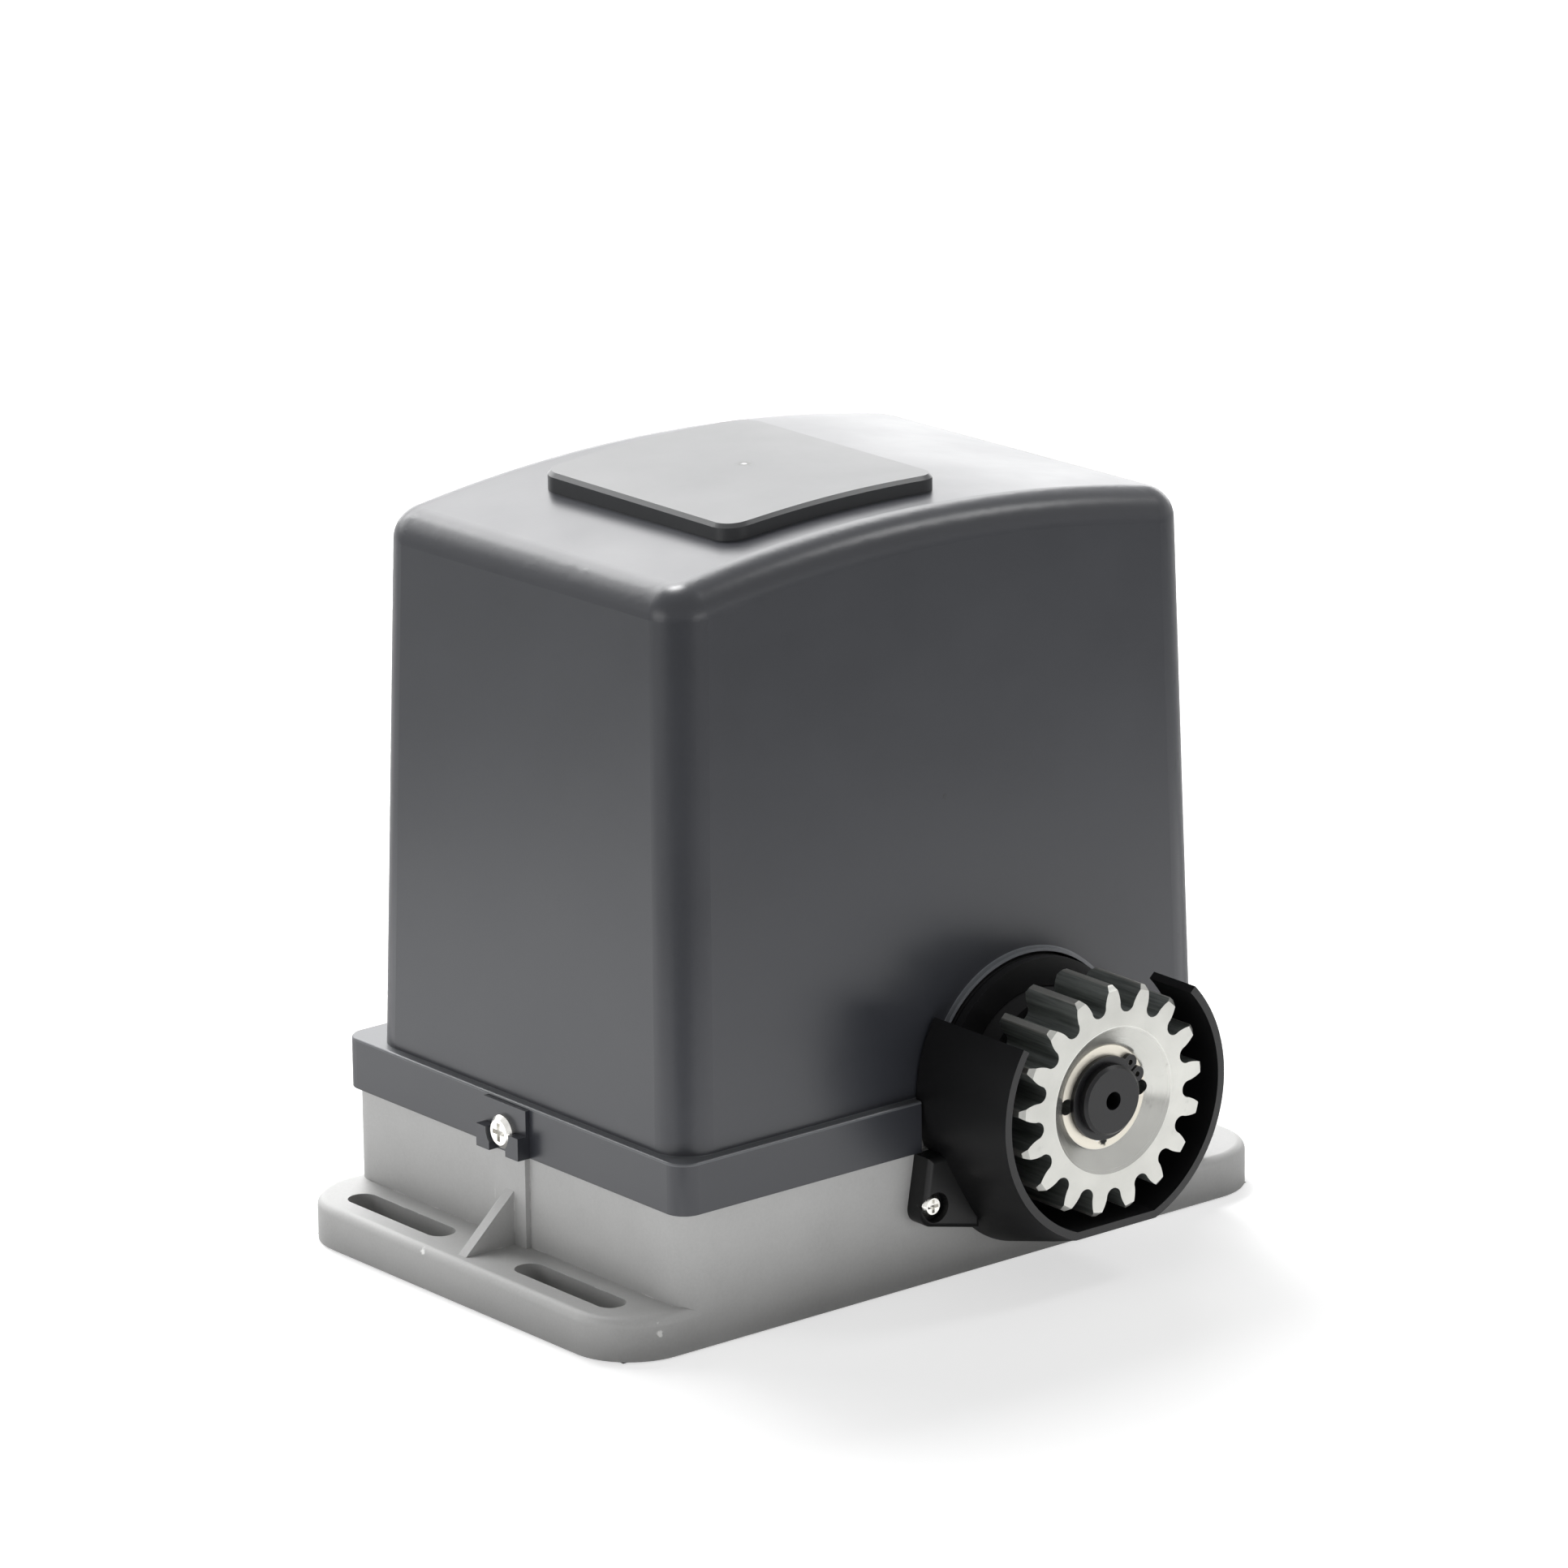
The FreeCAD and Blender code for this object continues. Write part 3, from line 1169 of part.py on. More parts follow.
def make_board_bracket():
    y0, y1 = bracket_y, bracket_y + sheet_t
    z0 = floor_t + pad_h
    back = box(bracket_x0, bracket_x1, y0, y1, z0, bracket_top)
    feet = [box(x0, x0 + bracket_foot_w, y0, y1 + bracket_foot, z0, z0 + sheet_t)
            for x0 in (bracket_x0, bracket_x1 - bracket_foot_w)]
    shelf = box(shelf_x0, bracket_x1, shelf_y0, y1, shelf_z, shelf_z + sheet_t)
    sides = [box(x0, x0 + sheet_t, shelf_y0, y1, shelf_z, shelf_z + shelf_lip)
             for x0 in (shelf_x0, bracket_x1 - sheet_t)]
    posts = [rod_y(x, z, 3.5, y1, board_y) for x, z in board_screw_places()]
    sheet = fuse(back, shelf, *feet, *sides, *posts)
    window = box(bracket_x0 + bracket_foot_w + 6, bracket_x1 - bracket_foot_w - 6, y0 - 1, y1 + 1,
                 z0 - 1, axis_z - window_below)
    cuts = [window, rod_y(axis_x, axis_z, rod_r + 3, y0 - 1, y1 + 1)]
    cuts += [rod_y(x, z, board_screw_r + run_gap, y0 - 1, board_y + 1)
             for x, z in board_screw_places()]
    cuts += [rod_z(x, y, board_screw_r + 0.3, 0, z0 + 2 * sheet_t) for x, y in bracket_screw_places()]
    return sheet.cut(Part.makeCompound(cuts)).removeSplitter()


def board_screw_places():
    return [(x, z) for x in (board_x0 + 5, board_x1 - 5) for z in (board_z0 + 5, board_z1 - 5)]


def make_control_board():
    board = box(board_x0, board_x1, board_y, board_y + board_t, board_z0, board_z1)
    holes = [rod_y(x, z, board_screw_r + 0.2, 0, far_out) for x, z in board_screw_places()]
    holes.append(rod_y(*button_place(), button_r - 1, 0, far_out))
    return board.cut(Part.makeCompound(holes))


def make_bracket_screws():
    screws = []
    face = board_y + board_t
    for x, z in board_screw_places():
        screws.append(fuse(rod_y(x, z, 2.8, face, face + 1.8),
                           rod_y(x, z, board_screw_r, bracket_y + 0.5, face)))
    seat = floor_t + pad_h + sheet_t
    for x, y in bracket_screw_places():
        screws.append(fuse(rod_z(x, y, 2.8, seat, seat + 1.8),
                           rod_z(x, y, board_screw_r, floor_t + 1.5, seat)))
    return Part.makeCompound(screws)


def make_terminal_blocks():
    """Row of screw terminals along the foot of the board."""
    face, pitch, depth = board_y + board_t, terminal_pitch, terminal_depth
    z0 = board_z0 + depth
    blocks = []
    for x0, count in ((board_x0 + 2 * pitch, 8), (board_x0 + 11 * pitch, 6)):
        block = box(x0, x0 + count * pitch, face, face + depth, z0, z0 + depth)
        wells = [rod_y(x0 + pitch * (i + 0.5), z0 + depth * 0.6, pitch * 0.3, face + depth * 0.7,
                       face + depth + 1) for i in range(count)]
        ports = [box(x0 + pitch * (i + 0.2), x0 + pitch * (i + 0.8), face + depth / 6,
                     face + depth * 0.6, z0 - 1, z0 + depth / 3) for i in range(count)]
        blocks.append(block.cut(Part.makeCompound(wells + ports)))
    return Part.makeCompound(blocks)


def board_row_z():
    """Height of the row of relays and the fuse, above the terminals."""
    return board_z0 + 3 * terminal_depth


def make_board_relays():
    face, z0 = board_y + board_t, board_row_z()
    return Part.makeCompound([box(x, x + relay_len, face, face + relay_depth, z0, z0 + relay_h)
                              for x in (board_x0 + relay_len, board_x0 + 2.4 * relay_len)])


def make_fuse_holder():
    face, z = board_y + board_t, board_row_z() + relay_h / 2
    x0, third = board_x0 + 4 * fuse_len, fuse_len / 3
    cradle = box(x0, x0 + fuse_len, face, face + third / 2, z - third / 2, z + third / 2)
    tube = rod_x(face + third * 0.65, z, third / 3, x0 + 2, x0 + fuse_len - 2)
    clips = [box(x, x + third / 2, face + third / 3, face + third, z - third * 0.4, z + third * 0.4)
             for x in (x0 + 1, x0 + fuse_len - 1 - third / 2)]
    return fuse(cradle, tube, *clips)


def button_place():
    return board_x0 + 9 * button_side, board_z1 - 3 * button_side


def button_body():
    """Ends of the switch's square body and of its cap, along Y."""
    face = board_y + board_t
    return face, face + button_base, face + button_base + button_h


def make_button_switch():
    x, z = button_place()
    y0, y1, _ = button_body()
    half = button_side / 2
    body = box(x - half, x + half, y0, y1, z - half, z + half)
    return body.cut(rod_y(x, z, button_r + 0.1, y0 + 0.6, y1 + 1))


def make_learn_button():
    x, z = button_place()
    y0, _, y2 = button_body()
    return rod_y(x, z, button_r, y0 + 0.6 + button_travel + 0.1, y2)


def make_transformer():
    x, y, z0 = shelf_mid_x, trafo_y, shelf_z + sheet_t
    half = trafo_len / 2
    core = box(x - half, x + half, y - trafo_core_w / 2, y + trafo_core_w / 2, z0 + sheet_t,
               z0 + trafo_h)
    coil = prism(x - half / 2, x + half / 2, y - trafo_w / 2, y + trafo_w / 2, trafo_w / 10,
                 z0 + trafo_h / 5, z0 + trafo_h * 4 / 5)
    tray = box(x - half, x + half, y - trafo_tray_w / 2, y + trafo_tray_w / 2, z0, z0 + sheet_t)
    return fuse(core, coil, tray)


def make_run_capacitor():
    x, z0 = shelf_mid_x, shelf_z + sheet_t
    can = rod_z(x, cap_y, cap_r, z0, z0 + cap_h)
    can = can.makeChamfer(cap_r / 10, edges_at_z(can, z0 + cap_h))
    tags = [box(x + d - tag_w / 2, x + d + tag_w / 2, cap_y - 0.5, cap_y + 0.5, z0 + cap_h - 1,
                z0 + cap_h + tag_h) for d in (-tag_pitch / 2, tag_pitch / 2)]
    return fuse(can, *tags)


def make_capacitor_clip():
    x, z0, low = shelf_mid_x, shelf_z + sheet_t, cap_h / 4
    band = tube_z(x, cap_y, cap_r + clip_t, cap_r, z0 + low, z0 + low + clip_w)
    inner, outer = cap_y + cap_r + 0.2, cap_y + cap_r + clip_t
    leg = box(x - clip_w / 2, x + clip_w / 2, inner, outer, z0, z0 + low + clip_w / 2)
    toe = box(x - clip_w / 2, x + clip_w / 2, inner, outer + clip_w / 2, z0, z0 + clip_t)
    return fuse(band, leg, toe)


def make_limit_sensor():
    z0 = shelf_z + sheet_t
    case = box(shelf_x0 + shelf_lip / 2, bracket_x1 - shelf_lip / 2, shelf_y0 + 1,
               shelf_y0 + 1 + sensor_w, z0, z0 + sensor_h)
    upright = [e for e in case.Edges if e.BoundBox.ZLength > sensor_h / 2]
    return case.makeFillet(sensor_w / 7, upright)


def make_cable_grommet():
    grommet = fuse(tube_z(grommet_x, grommet_y, grommet_r - 0.1, grommet_hole_r, 0.5, floor_t + 3),
                   tube_z(grommet_x, grommet_y, grommet_r + 3, grommet_hole_r, floor_t,
                          floor_t + grommet_lip))
    return grommet.removeSplitter()


nodes = {
    "base_housing": make_base_housing,
    "cover": make_cover,
    "top_plate": make_top_plate,
    "cover_screws": make_cover_screws,
    "pinion": make_pinion,
    "output_shaft": make_output_shaft,
    "pinion_key": make_pinion_key,
    "retaining_ring": make_retaining_ring,
    "spacer_sleeve": make_spacer_sleeve,
    "pinion_guard": make_pinion_guard,
    "guard_screws": make_guard_screws,
    "gearbox_body": make_gearbox_body,
    "gearbox_gasket": make_gearbox_gasket,
    "gearbox_cover": make_gearbox_cover,
    "gearbox_screws": make_gearbox_screws,
    "foot_screws": make_foot_screws,
    "oil_seal": make_oil_seal,
    "front_bearing": lambda: bearing_y(journal_r + run_gap, front_bearing_r, front_bearing_y,
                                       front_bearing_w),
    "rear_bearing": lambda: bearing_y(rear_journal_r + run_gap, rear_bearing_r, rear_bearing_y,
                                      rear_bearing_w),
    "worm_wheel": make_worm_wheel,
    "clutch_sleeve": make_clutch_sleeve,
    "clutch_key": make_clutch_key,
    "clutch_spring": make_clutch_spring,
    "release_rod": make_release_rod,
    "release_cam": make_release_cam,
    "release_lever": make_release_lever,
    "lock_cylinder": make_lock_cylinder,
    "worm_shaft": make_worm_shaft,
    "rotor_core": make_rotor_core,
    "worm_bearing": lambda: bearing_z(small_journal_r + run_gap, small_bearing_r,
                                      worm_bearing_z(), small_bearing_w),
    "lower_motor_bearing": lambda: bearing_z(motor_shaft_r + run_gap, motor_bearing_r,
                                             frame_z - 4, motor_bearing_w),
    "upper_motor_bearing": lambda: bearing_z(small_journal_r + run_gap, small_bearing_r,
                                             bell_z + 1, small_bearing_w),
    "motor_flange": make_motor_flange,
    "motor_frame": make_motor_frame,
    "stator_core": make_stator_core,
    "stator_windings": make_stator_windings,
    "motor_end_bell": make_motor_end_bell,
    "motor_bolts": make_motor_bolts,
    "board_bracket": make_board_bracket,
    "bracket_screws": make_bracket_screws,
    "control_board": make_control_board,
    "terminal_blocks": make_terminal_blocks,
    "board_relays": make_board_relays,
    "fuse_holder": make_fuse_holder,
    "button_switch": make_button_switch,
    "learn_button": make_learn_button,
    "transformer": make_transformer,
    "run_capacitor": make_run_capacitor,
    "capacitor_clip": make_capacitor_clip,
    "limit_sensor": make_limit_sensor,
    "cable_grommet": make_cable_grommet,
}

if __name__ == "__main__":
    os.makedirs("parts", exist_ok=True)
    for name, make in nodes.items():
        shape = make()
        print(name, len(shape.Solids), round(shape.Volume), shape.isValid())
        shape.exportStep("parts/" + name + ".step")
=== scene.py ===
import json
import math

import bpy
from mathutils import Matrix, Vector


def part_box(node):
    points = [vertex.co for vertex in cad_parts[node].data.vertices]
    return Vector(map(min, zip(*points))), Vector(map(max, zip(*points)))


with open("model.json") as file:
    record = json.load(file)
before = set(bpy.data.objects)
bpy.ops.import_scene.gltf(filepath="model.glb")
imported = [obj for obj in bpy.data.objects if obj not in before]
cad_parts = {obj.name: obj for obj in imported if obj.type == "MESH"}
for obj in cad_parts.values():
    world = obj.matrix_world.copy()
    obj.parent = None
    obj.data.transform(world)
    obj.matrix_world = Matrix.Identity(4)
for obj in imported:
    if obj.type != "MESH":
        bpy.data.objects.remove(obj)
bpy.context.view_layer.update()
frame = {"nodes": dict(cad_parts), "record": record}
nodes = frame["nodes"]

# The photograph's camera, fitted to the base, cover, pinion and guard
sensor_mm = 36.0
lens_mm = 218.27
camera_azimuth = -38.845
camera_elevation = 16.891
camera_roll = 0.752
camera_place = Vector((-1.82743, -2.27172, 1.02894))

# Light on every side, and the floor, which shows white but keeps a faint shadow
world_level = 0.17
floor_colour = (0.55, 0.55, 0.55)
floor_lift = 0.62
floor_width = 6.0
floor_z = -0.0005
# A dark sheet under the base is painted shade that shows through the slots
shade_inset = 0.006
shade_z = -0.0002

# Middle of the pinion, where its turned finish is centred
pinion_low, pinion_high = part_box("pinion")
pinion_axis = [(a + b) / 2 for a, b in zip(pinion_low, pinion_high)]
hub_edge_r = 0.0170
dish_edge_r = 0.0240
tip_edge_r = 0.0375
hub_depth = 0.005
# Painted shade: a dark spot below the hub where the key's notch shows
keyway_shade_place = (0, pinion_low[1] - pinion_axis[1] + hub_depth, -0.0148)
keyway_shade_r = 0.0016

# Edges and marks seen lighter or darker than the surface round them: painted highlights on the
# bead round the cover's cut-out and along the skirt's top edge, wear chips on the base, a dark
# mark on the cover, and painted shade with a painted highlight for the plate's dimple
# Painted highlight: a light ring on the bead round the cover's cut-out
bead_highlight_r = 0.0392
bead_highlight_half_width = 0.0008
bead_highlight_back_y = -0.070
# Painted highlight: a light band along the skirt's top outer edge
skirt_highlight_low = 0.0612
skirt_highlight_high = 0.0622
chip_colour = (0.9, 0.9, 0.88)
base_chips = [((-0.1355, 0.0154, 0.0126), 0.0012, chip_colour),
              ((-0.1190, -0.0850, 0.0085), 0.0012, chip_colour),
              ((-0.1195, -0.0855, 0.0125), 0.0007, chip_colour)]
cover_mark = ((0.001, -0.0797, 0.158), 0.0016, (0.012, 0.012, 0.013))
plate_middle = (-0.0175, -0.0063, 0.2543)
# Painted shade and a painted highlight: a dark spot with a light middle for the plate's dimple
plate_dimple_shade_and_highlight = [(plate_middle, 0.0030, (0.02, 0.02, 0.02)),
                (plate_middle, 0.0009, (0.5, 0.5, 0.5))]

# Width of worn edges, and how far the fine bumps stand out
worn_width = 0.0006
grain_height = 0.0002
lathe_height = 0.00008


def add(tree, kind, **values):
    """Adds a shader node, setting its plain attributes and its inputs by name or number."""
    node = tree.nodes.new(kind)
    for key, value in values.items():
        if key.startswith("in_"):
            name = key[3:]
            node.inputs[int(name) if name.isdigit() else name].default_value = value
        else:
            setattr(node, key, value)
    return node


def mapped(tree, scale=(1, 1, 1), shift=(0, 0, 0)):
    place = add(tree, "ShaderNodeTexCoord")
    mapping = add(tree, "ShaderNodeMapping")
    mapping.inputs["Scale"].default_value = scale
    mapping.inputs["Location"].default_value = shift
    tree.links.new(place.outputs["Object"], mapping.inputs["Vector"])
    return mapping.outputs["Vector"]


def noise(tree, vector, scale, detail=4.0, roughness=0.55):
    node = add(tree, "ShaderNodeTexNoise")
    node.inputs["Scale"].default_value = scale
    node.inputs["Detail"].default_value = detail
    node.inputs["Roughness"].default_value = roughness
    tree.links.new(vector, node.inputs["Vector"])
    return node.outputs["Fac"]


def ranged(tree, value, low, high, from_low=0.3, from_high=0.7):
    node = add(tree, "ShaderNodeMapRange")
    node.inputs["From Min"].default_value = from_low
    node.inputs["From Max"].default_value = from_high
    node.inputs["To Min"].default_value = low
    node.inputs["To Max"].default_value = high
    tree.links.new(value, node.inputs["Value"])
    return node.outputs["Result"]


def blended(tree, factor, first, second):
    """Mixes two colours, each a plain colour or a socket."""
    node = add(tree, "ShaderNodeMix", data_type="RGBA")
    tree.links.new(factor, node.inputs["Factor"])
    for name, colour in (("A", first), ("B", second)):
        socket = [s for s in node.inputs if s.name == name and s.type == "RGBA"][0]
        if isinstance(colour, bpy.types.NodeSocket):
            tree.links.new(colour, socket)
        else:
            socket.default_value = (*colour, 1)
    return [s for s in node.outputs if s.type == "RGBA"][0]


def product(tree, first, second):
    node = add(tree, "ShaderNodeMath", operation="MULTIPLY")
    tree.links.new(first, node.inputs[0])
    tree.links.new(second, node.inputs[1])
    return node.outputs[0]


def parts_of(tree, vector):
    node = add(tree, "ShaderNodeSeparateXYZ")
    tree.links.new(vector, node.inputs[0])
    return node.outputs


def flat_length(tree, vector):
    """Length of a vector across Y, the pinion's axis."""
    flat = add(tree, "ShaderNodeVectorMath", operation="MULTIPLY")
    flat.inputs[1].default_value = (1, 0, 1)
    tree.links.new(vector, flat.inputs[0])
    length = add(tree, "ShaderNodeVectorMath", operation="LENGTH")
    tree.links.new(flat.outputs["Vector"], length.inputs[0])
    return length.outputs["Value"]


def bumped(tree, height, strength, distance, under=None):
    node = add(tree, "ShaderNodeBump")
    node.inputs["Strength"].default_value = strength
    node.inputs["Distance"].default_value = distance
    tree.links.new(height, node.inputs["Height"])
    if under:
        tree.links.new(under, node.inputs["Normal"])
    return node.outputs["Normal"]


def new_material(name, metallic=0.0, **shader_values):
    material = bpy.data.materials.new(name)
    material.use_nodes = True
    tree = material.node_tree
    shader = tree.nodes["Principled BSDF"]
    shader.inputs["Metallic"].default_value = metallic
    for key, value in shader_values.items():
        shader.inputs[key.replace("_", " ")].default_value = value
    return material, tree, shader


def edge_wear(tree, width):
    """One along sharp outer edges: how far the rounded normal leaves the plain one."""
    bevel = add(tree, "ShaderNodeBevel", samples=4)
    bevel.inputs["Radius"].default_value = width
    plain = add(tree, "ShaderNodeNewGeometry")
    dot = add(tree, "ShaderNodeVectorMath", operation="DOT_PRODUCT")
    tree.links.new(bevel.outputs["Normal"], dot.inputs[0])
    tree.links.new(plain.outputs["Normal"], dot.inputs[1])
    return ranged(tree, dot.outputs["Value"], 1, 0, 0.86, 0.99)


def spot(tree, vector, place, radius):
    """One near a place on the object, falling to none at a radius that is a little uneven."""
    away = add(tree, "ShaderNodeVectorMath", operation="DISTANCE")
    away.inputs[1].default_value = place
    tree.links.new(vector, away.inputs[0])
    rough_edge = ranged(tree, noise(tree, vector, 900, 3.0), 0.6, 1.4)
    ratio = add(tree, "ShaderNodeMath", operation="DIVIDE")
    tree.links.new(away.outputs["Value"], ratio.inputs[0])
    scaled = add(tree, "ShaderNodeMath", operation="MULTIPLY", in_1=radius)
    tree.links.new(rough_edge, scaled.inputs[0])
    tree.links.new(scaled.outputs[0], ratio.inputs[1])
    return ranged(tree, ratio.outputs[0], 1, 0, 0.6, 1.1)


def bead(tree, vector, radius, half_width, behind):
    """One on a ring round the pinion's axis, in front of a plane across that axis."""
    about = add(tree, "ShaderNodeVectorMath", operation="SUBTRACT")
    about.inputs[1].default_value = pinion_axis
    tree.links.new(vector, about.inputs[0])
    away = add(tree, "ShaderNodeMath", operation="SUBTRACT", in_1=radius)
    tree.links.new(flat_length(tree, about.outputs["Vector"]), away.inputs[0])
    off = add(tree, "ShaderNodeMath", operation="ABSOLUTE")
    tree.links.new(away.outputs[0], off.inputs[0])
    near = ranged(tree, off.outputs[0], 1, 0, half_width * 0.8, half_width)
    front = ranged(tree, parts_of(tree, vector)["Y"], 1, 0, behind - 0.001, behind)
    return product(tree, near, front)


def band(tree, vector, low, high):
    """One between two heights."""
    height = parts_of(tree, vector)["Z"]
    over = add(tree, "ShaderNodeMath", operation="GREATER_THAN", in_1=low)
    tree.links.new(height, over.inputs[0])
    under = add(tree, "ShaderNodeMath", operation="LESS_THAN", in_1=high)
    tree.links.new(height, under.inputs[0])
    return product(tree, over.outputs[0], under.outputs[0])


def plain_finish(name, colour, roughness, metallic=0.0, grain=2500, grain_bump=0.05,
                 mottle=0.06, mottle_scale=30, swing=0.05, wear=0.0, wear_colour=None,
                 marks=(), rings=(), bands=(), **values):
    """A surface with fine grain, slow colour change, uneven gloss and, if asked, worn edges.

    Each mark is a small spot: its place in metres, its radius and its colour. Each ring is a
    painted highlight on a bead round the pinion's axis: its radius, half width, the plane behind
    it and its colour. Each band is a painted highlight on a level edge: its lowest and highest
    place and its colour.
    """
    material, tree, shader = new_material(name, metallic, **values)
    vector = mapped(tree)
    slow = noise(tree, vector, mottle_scale)
    fine = noise(tree, vector, grain, 3.0)
    dark = tuple(c * (1 - mottle) for c in colour)
    light = tuple(min(1.0, c * (1 + mottle)) for c in colour)
    tint = blended(tree, ranged(tree, slow, 0, 1, 0.1, 0.9), dark, light)
    speck = ranged(tree, fine, 0.0, 0.5, 0.35, 0.75)
    tint = blended(tree, speck, tint, tuple(min(1.0, c * 1.12) for c in colour))
    if wear:
        worn = edge_wear(tree, worn_width)
        patch = ranged(tree, noise(tree, vector, 160, 5.0), 0, 1, 0.52, 0.66)
        some = ranged(tree, product(tree, worn, patch), 0, wear, 0, 1)
        tint = blended(tree, some, tint, wear_colour)
    for place, radius, mark_colour in marks:
        tint = blended(tree, spot(tree, vector, place, radius), tint, mark_colour)
    for radius, half_width, behind, ring_highlight_colour in rings:
        tint = blended(tree, bead(tree, vector, radius, half_width, behind), tint, ring_highlight_colour)
    for low, high, band_highlight_colour in bands:
        tint = blended(tree, band(tree, vector, low, high), tint, band_highlight_colour)
    tree.links.new(tint, shader.inputs["Base Color"])
    tree.links.new(ranged(tree, slow, roughness - swing, roughness + swing, 0.1, 0.9),
                   shader.inputs["Roughness"])
    tree.links.new(bumped(tree, fine, grain_bump, grain_height), shader.inputs["Normal"])
    return material


def gear_steel(name, face_colour, flank_colour, hub_colour):
    """A gear faced on a lathe: fine rings, a shiny dish, darker cut flanks, bright tips and
    painted shade where the key's notch shows.
    """
    material, tree, shader = new_material(name, 0.8)
    centre = tuple(-c for c in pinion_axis)
    vector = mapped(tree, shift=centre)
    radius = flat_length(tree, vector)
    ring = add(tree, "ShaderNodeCombineXYZ")
    tree.links.new(radius, ring.inputs["X"])
    lathe = noise(tree, ring.outputs["Vector"], 1500, 3.0, 0.7)
    slow = noise(tree, vector, 45, 5.0, 0.6)
    stain = noise(tree, vector, 130, 6.0, 0.65)
    along = noise(tree, mapped(tree, (900, 40, 900)), 1.0, 4.0, 0.6)
    tint = blended(tree, ranged(tree, slow, 0, 1), tuple(c * 0.92 for c in face_colour),
                   tuple(min(1, c * 1.12) for c in face_colour))
    tint = blended(tree, ranged(tree, radius, 1, 0, hub_edge_r, hub_edge_r + 0.0003),
                   tint, hub_colour)
    tint = blended(tree, ranged(tree, stain, 0, 0.45, 0.62, 0.74), tint,
                   tuple(c * 0.45 for c in face_colour))
    normal = parts_of(tree, add(tree, "ShaderNodeNewGeometry").outputs["True Normal"])
    level = add(tree, "ShaderNodeMath", operation="ABSOLUTE")
    tree.links.new(normal["Y"], level.inputs[0])
    flank = ranged(tree, level.outputs[0], 1, 0, 0.5, 0.75)
    tip = ranged(tree, radius, 1, 0, tip_edge_r - 0.0003, tip_edge_r)
    streaked = blended(tree, ranged(tree, along, 0, 1), tuple(c * 0.6 for c in flank_colour),
                       tuple(c * 1.5 for c in flank_colour))
    tint = blended(tree, product(tree, flank, tip), tint, streaked)
    # Painted shade: a dark spot where the key's notch shows below the hub
    keyway_shade = spot(tree, vector, keyway_shade_place, keyway_shade_r)
    tint = blended(tree, keyway_shade, tint, (0.01, 0.01, 0.01))
    tree.links.new(tint, shader.inputs["Base Color"])
    cone_in = ranged(tree, radius, 0, 1, hub_edge_r, hub_edge_r + 0.0004)
    cone_out = ranged(tree, radius, 1, 0, dish_edge_r, dish_edge_r + 0.0004)
    gloss = add(tree, "ShaderNodeMath", operation="MULTIPLY_ADD", in_1=-0.2)
    tree.links.new(product(tree, cone_in, cone_out), gloss.inputs[0])
    tree.links.new(ranged(tree, lathe, 0.36, 0.50), gloss.inputs[2])
    tree.links.new(gloss.outputs[0], shader.inputs["Roughness"])
    fine = bumped(tree, lathe, 0.25, lathe_height)
    tree.links.new(bumped(tree, stain, 0.12, grain_height, fine), shader.inputs["Normal"])
    return material


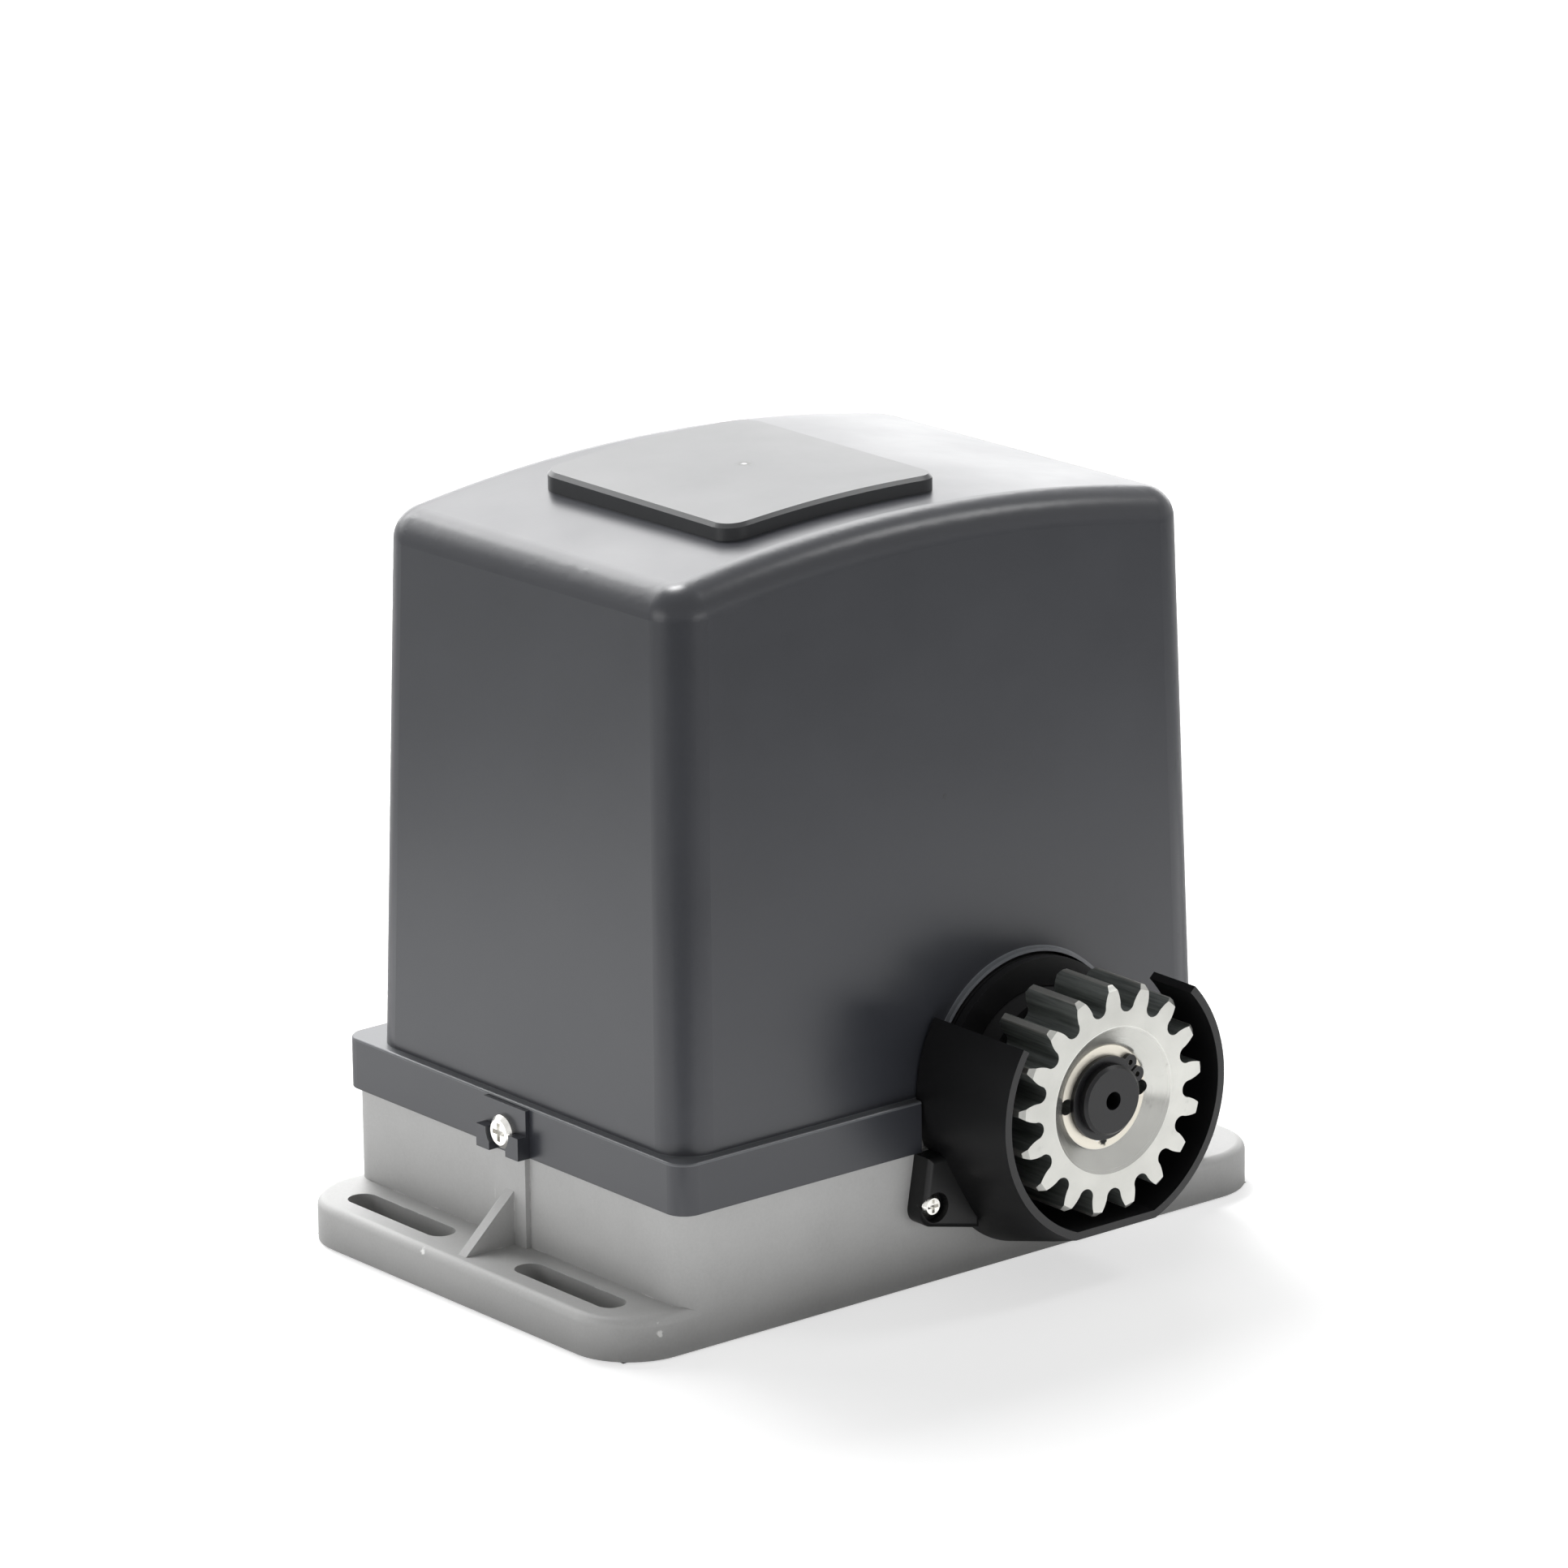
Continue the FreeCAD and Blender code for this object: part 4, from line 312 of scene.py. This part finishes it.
finishes = {
    "base_paint": plain_finish("base_paint", (0.45, 0.45, 0.445), 0.5, grain=1100,
                               grain_bump=0.16, mottle=0.08, mottle_scale=55, wear=0.9,
                               wear_colour=(0.80, 0.80, 0.79), marks=base_chips),
    "cover_plastic": plain_finish("cover_plastic", (0.029, 0.031, 0.038), 0.31, grain=1300,
                                  grain_bump=0.04, mottle=0.08, marks=[cover_mark],
                                  # The ring is a painted highlight on the bead round the cut-out
                                  rings=[(bead_highlight_r, bead_highlight_half_width, bead_highlight_back_y,
                                          (0.24, 0.25, 0.27))],
                                  # The band is a painted highlight along the skirt's top edge
                                  bands=[(skirt_highlight_low, skirt_highlight_high,
                                          (0.12, 0.125, 0.135))]),
    "plate_plastic": plain_finish("plate_plastic", (0.048, 0.050, 0.053), 0.34, grain=3000,
                                  # The dimple's marks are painted shade with a painted highlight
                                  # in the middle
                                  grain_bump=0.04, mottle=0.05, marks=plate_dimple_shade_and_highlight),
    "gear_steel": gear_steel("gear_steel", (0.45, 0.45, 0.425), (0.22, 0.235, 0.225),
                             (0.58, 0.55, 0.48)),
    "black_steel": plain_finish("black_steel", (0.006, 0.006, 0.007), 0.38, grain=1500,
                                grain_bump=0.12, mottle=0.25, wear=0.4,
                                wear_colour=(0.25, 0.25, 0.25), Specular_IOR_Level=0.3),
    "guard_black": plain_finish("guard_black", (0.004, 0.004, 0.0045), 0.42, grain=2200,
                                grain_bump=0.08, mottle=0.15, wear=0.2,
                                wear_colour=(0.06, 0.06, 0.06), Specular_IOR_Level=0.35),
    "zinc_steel": plain_finish("zinc_steel", (0.72, 0.71, 0.68), 0.25, 1.0, grain=900,
                               grain_bump=0.10, mottle=0.15, mottle_scale=260),
    "cast_aluminium": plain_finish("cast_aluminium", (0.52, 0.53, 0.54), 0.5, 1.0, grain=900,
                                   grain_bump=0.35, mottle=0.1),
    "bronze": plain_finish("bronze", (0.62, 0.40, 0.17), 0.35, 1.0, mottle=0.15),
    "bearing_steel": plain_finish("bearing_steel", (0.56, 0.56, 0.58), 0.22, 1.0, mottle=0.08),
    "shaft_steel": plain_finish("shaft_steel", (0.48, 0.48, 0.50), 0.28, 1.0, mottle=0.1),
    "seal_rubber": plain_finish("seal_rubber", (0.018, 0.018, 0.018), 0.7, mottle=0.2),
    "gasket": plain_finish("gasket", (0.10, 0.09, 0.07), 0.85, mottle=0.2),
    "laminations": plain_finish("laminations", (0.20, 0.20, 0.21), 0.45, 1.0, mottle=0.2),
    "copper": plain_finish("copper", (0.55, 0.20, 0.08), 0.35, 1.0, grain=700, grain_bump=0.4,
                           mottle=0.2),
    "motor_paint": plain_finish("motor_paint", (0.02, 0.02, 0.022), 0.4, mottle=0.1),
    "lever_plastic": plain_finish("lever_plastic", (0.03, 0.03, 0.032), 0.45, mottle=0.08),
    "sheet_metal": plain_finish("sheet_metal", (0.60, 0.61, 0.62), 0.35, 1.0, grain=400,
                                mottle=0.12),
    "board_green": plain_finish("board_green", (0.01, 0.10, 0.04), 0.3, mottle=0.1),
    "terminal_green": plain_finish("terminal_green", (0.04, 0.22, 0.08), 0.45, mottle=0.06),
    "relay_black": plain_finish("relay_black", (0.02, 0.02, 0.022), 0.42, mottle=0.08),
    "fuse_clear": plain_finish("fuse_clear", (0.45, 0.47, 0.48), 0.15, mottle=0.05),
    "button_red": plain_finish("button_red", (0.40, 0.02, 0.015), 0.4, mottle=0.05),
    "can_white": plain_finish("can_white", (0.65, 0.65, 0.63), 0.3, mottle=0.04),
}

# The casting behind the pinion gets a near-black finish in place of its slot's, so that what
# shows through the cut-out is dark
finishes["black_casting"] = plain_finish("black_casting", (0.004, 0.004, 0.0045), 0.6,
                                         grain=900, grain_bump=0.3, mottle=0.15)
painted = {"gearbox_body": "black_casting"}

for part in frame["record"]["subparts"]:
    finish = painted.get(part["node"], part["material_slot"])
    for slot in nodes[part["node"]].material_slots:
        slot.material = finishes[finish]


def make_camera():
    azimuth = math.radians(camera_azimuth)
    elevation = math.radians(camera_elevation)
    forward = Vector((-math.sin(azimuth) * math.cos(elevation),
                      math.cos(azimuth) * math.cos(elevation), -math.sin(elevation)))
    right = forward.cross(Vector((0, 0, 1))).normalized()
    upward = right.cross(forward)
    turn = Matrix.Rotation(math.radians(camera_roll), 3, forward)
    right, upward = turn @ right, turn @ upward
    data = bpy.data.cameras.new("camera")
    data.lens = lens_mm
    data.sensor_width = sensor_mm
    data.clip_end = 50
    camera = bpy.data.objects.new("camera", data)
    axes = Matrix((right, upward, -forward)).transposed().to_4x4()
    camera.matrix_world = Matrix.Translation(camera_place) @ axes
    bpy.context.collection.objects.link(camera)
    bpy.context.scene.camera = camera


# Area lamps: name, place, aim, size and power
lamps = [
    ("left_low", (-1.6, 0.3, 0.35), (0, 0, 0.1), (1.0, 0.6), 4),
    ("front_low", (0.3, -2.0, 0.3), (0, 0, 0.1), (1.2, 0.4), 4),
    ("top", (0.25, 1.0, 2.1), (0, 0, 0.1), (0.6, 0.6), 34),
    ("rim", (1.3, -0.64, 1.7), (0, 0, 0.06), (0.5, 0.5), 6),
    ("back_low", (1.9, 2.3, 0.45), (0, 0, 0.2), (3.4, 0.8), 20),
    ("back_high", (0.8, 2.0, 1.8), (0, 0, 0.2), (2.6, 1.5), 50),
    ("back_left", (-0.5, 2.3, 1.4), (0, 0, 0.2), (1.6, 1.6), 20),
    ("bounce_front", (0.16, -0.30, 0.003), (0.16, -0.30, 1), (0.75, 0.36), 1.1),
    ("bounce_left", (-0.36, 0.12, 0.003), (-0.36, 0.12, 1), (0.40, 0.60), 0.85),
]


def make_lamp(name, place, aim, size, power):
    data = bpy.data.lights.new(name, "AREA")
    data.shape = "RECTANGLE"
    data.size, data.size_y = size
    data.energy = power
    lamp = bpy.data.objects.new(name, data)
    direction = Vector(aim) - Vector(place)
    lamp.matrix_world = (Matrix.Translation(place)
                         @ direction.to_track_quat("-Z", "Y").to_matrix().to_4x4())
    bpy.context.collection.objects.link(lamp)


def directly_seen(tree):
    """One for rays from the camera, a mirror or a glass, and none for rays of light."""
    path = add(tree, "ShaderNodeLightPath")
    value = path.outputs["Is Camera Ray"]
    for name in ("Is Glossy Ray", "Is Transmission Ray"):
        either = add(tree, "ShaderNodeMath", operation="MAXIMUM")
        tree.links.new(value, either.inputs[0])
        tree.links.new(path.outputs[name], either.inputs[1])
        value = either.outputs[0]
    return value


def make_world():
    world = bpy.data.worlds.new("world")
    world.use_nodes = True
    tree = world.node_tree
    tree.nodes.clear()
    output = add(tree, "ShaderNodeOutputWorld")
    white = add(tree, "ShaderNodeBackground", in_Color=(1, 1, 1, 1), in_Strength=1.0)
    plain = add(tree, "ShaderNodeBackground", in_Color=(1, 1, 1, 1), in_Strength=world_level)
    mix = add(tree, "ShaderNodeMixShader")
    tree.links.new(directly_seen(tree), mix.inputs[0])
    tree.links.new(plain.outputs[0], mix.inputs[1])
    tree.links.new(white.outputs[0], mix.inputs[2])
    tree.links.new(mix.outputs[0], output.inputs["Surface"])
    bpy.context.scene.world = world


def make_floor():
    mesh = bpy.data.meshes.new("floor")
    half = floor_width / 2
    mesh.from_pydata([(-half, -half, 0), (half, -half, 0), (half, half, 0), (-half, half, 0)], [],
                     [(0, 1, 2, 3)])
    floor = bpy.data.objects.new("floor", mesh)
    floor.location.z = floor_z
    bpy.context.collection.objects.link(floor)
    material, tree, shader = new_material("floor", 0.0, Roughness=0.9)
    shader.inputs["Base Color"].default_value = (*floor_colour, 1)
    shader.inputs["Emission Color"].default_value = (1, 1, 1, 1)
    path = add(tree, "ShaderNodeLightPath")
    lift = add(tree, "ShaderNodeMath", operation="MULTIPLY", in_1=floor_lift)
    tree.links.new(path.outputs["Is Camera Ray"], lift.inputs[0])
    tree.links.new(lift.outputs[0], shader.inputs["Emission Strength"])
    mesh.materials.append(material)


def make_shade():
    """A dark sheet under the base: painted shade that shows through the slots of the base."""
    low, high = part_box("base_housing")
    x0, y0 = low[0] + shade_inset, low[1] + shade_inset
    x1, y1 = high[0] - shade_inset, high[1] - shade_inset
    mesh = bpy.data.meshes.new("shade")
    mesh.from_pydata([(x0, y0, 0), (x1, y0, 0), (x1, y1, 0), (x0, y1, 0)], [], [(0, 1, 2, 3)])
    shade = bpy.data.objects.new("shade", mesh)
    shade.location.z = shade_z
    bpy.context.collection.objects.link(shade)
    material, tree, shader = new_material("shade", 0.0, Roughness=0.9)
    shader.inputs["Base Color"].default_value = (0.03, 0.03, 0.03, 1)
    mesh.materials.append(material)


make_camera()
make_world()
make_floor()
make_shade()
for lamp in lamps:
    make_lamp(*lamp)

bpy.context.scene.view_settings.view_transform = "Standard"
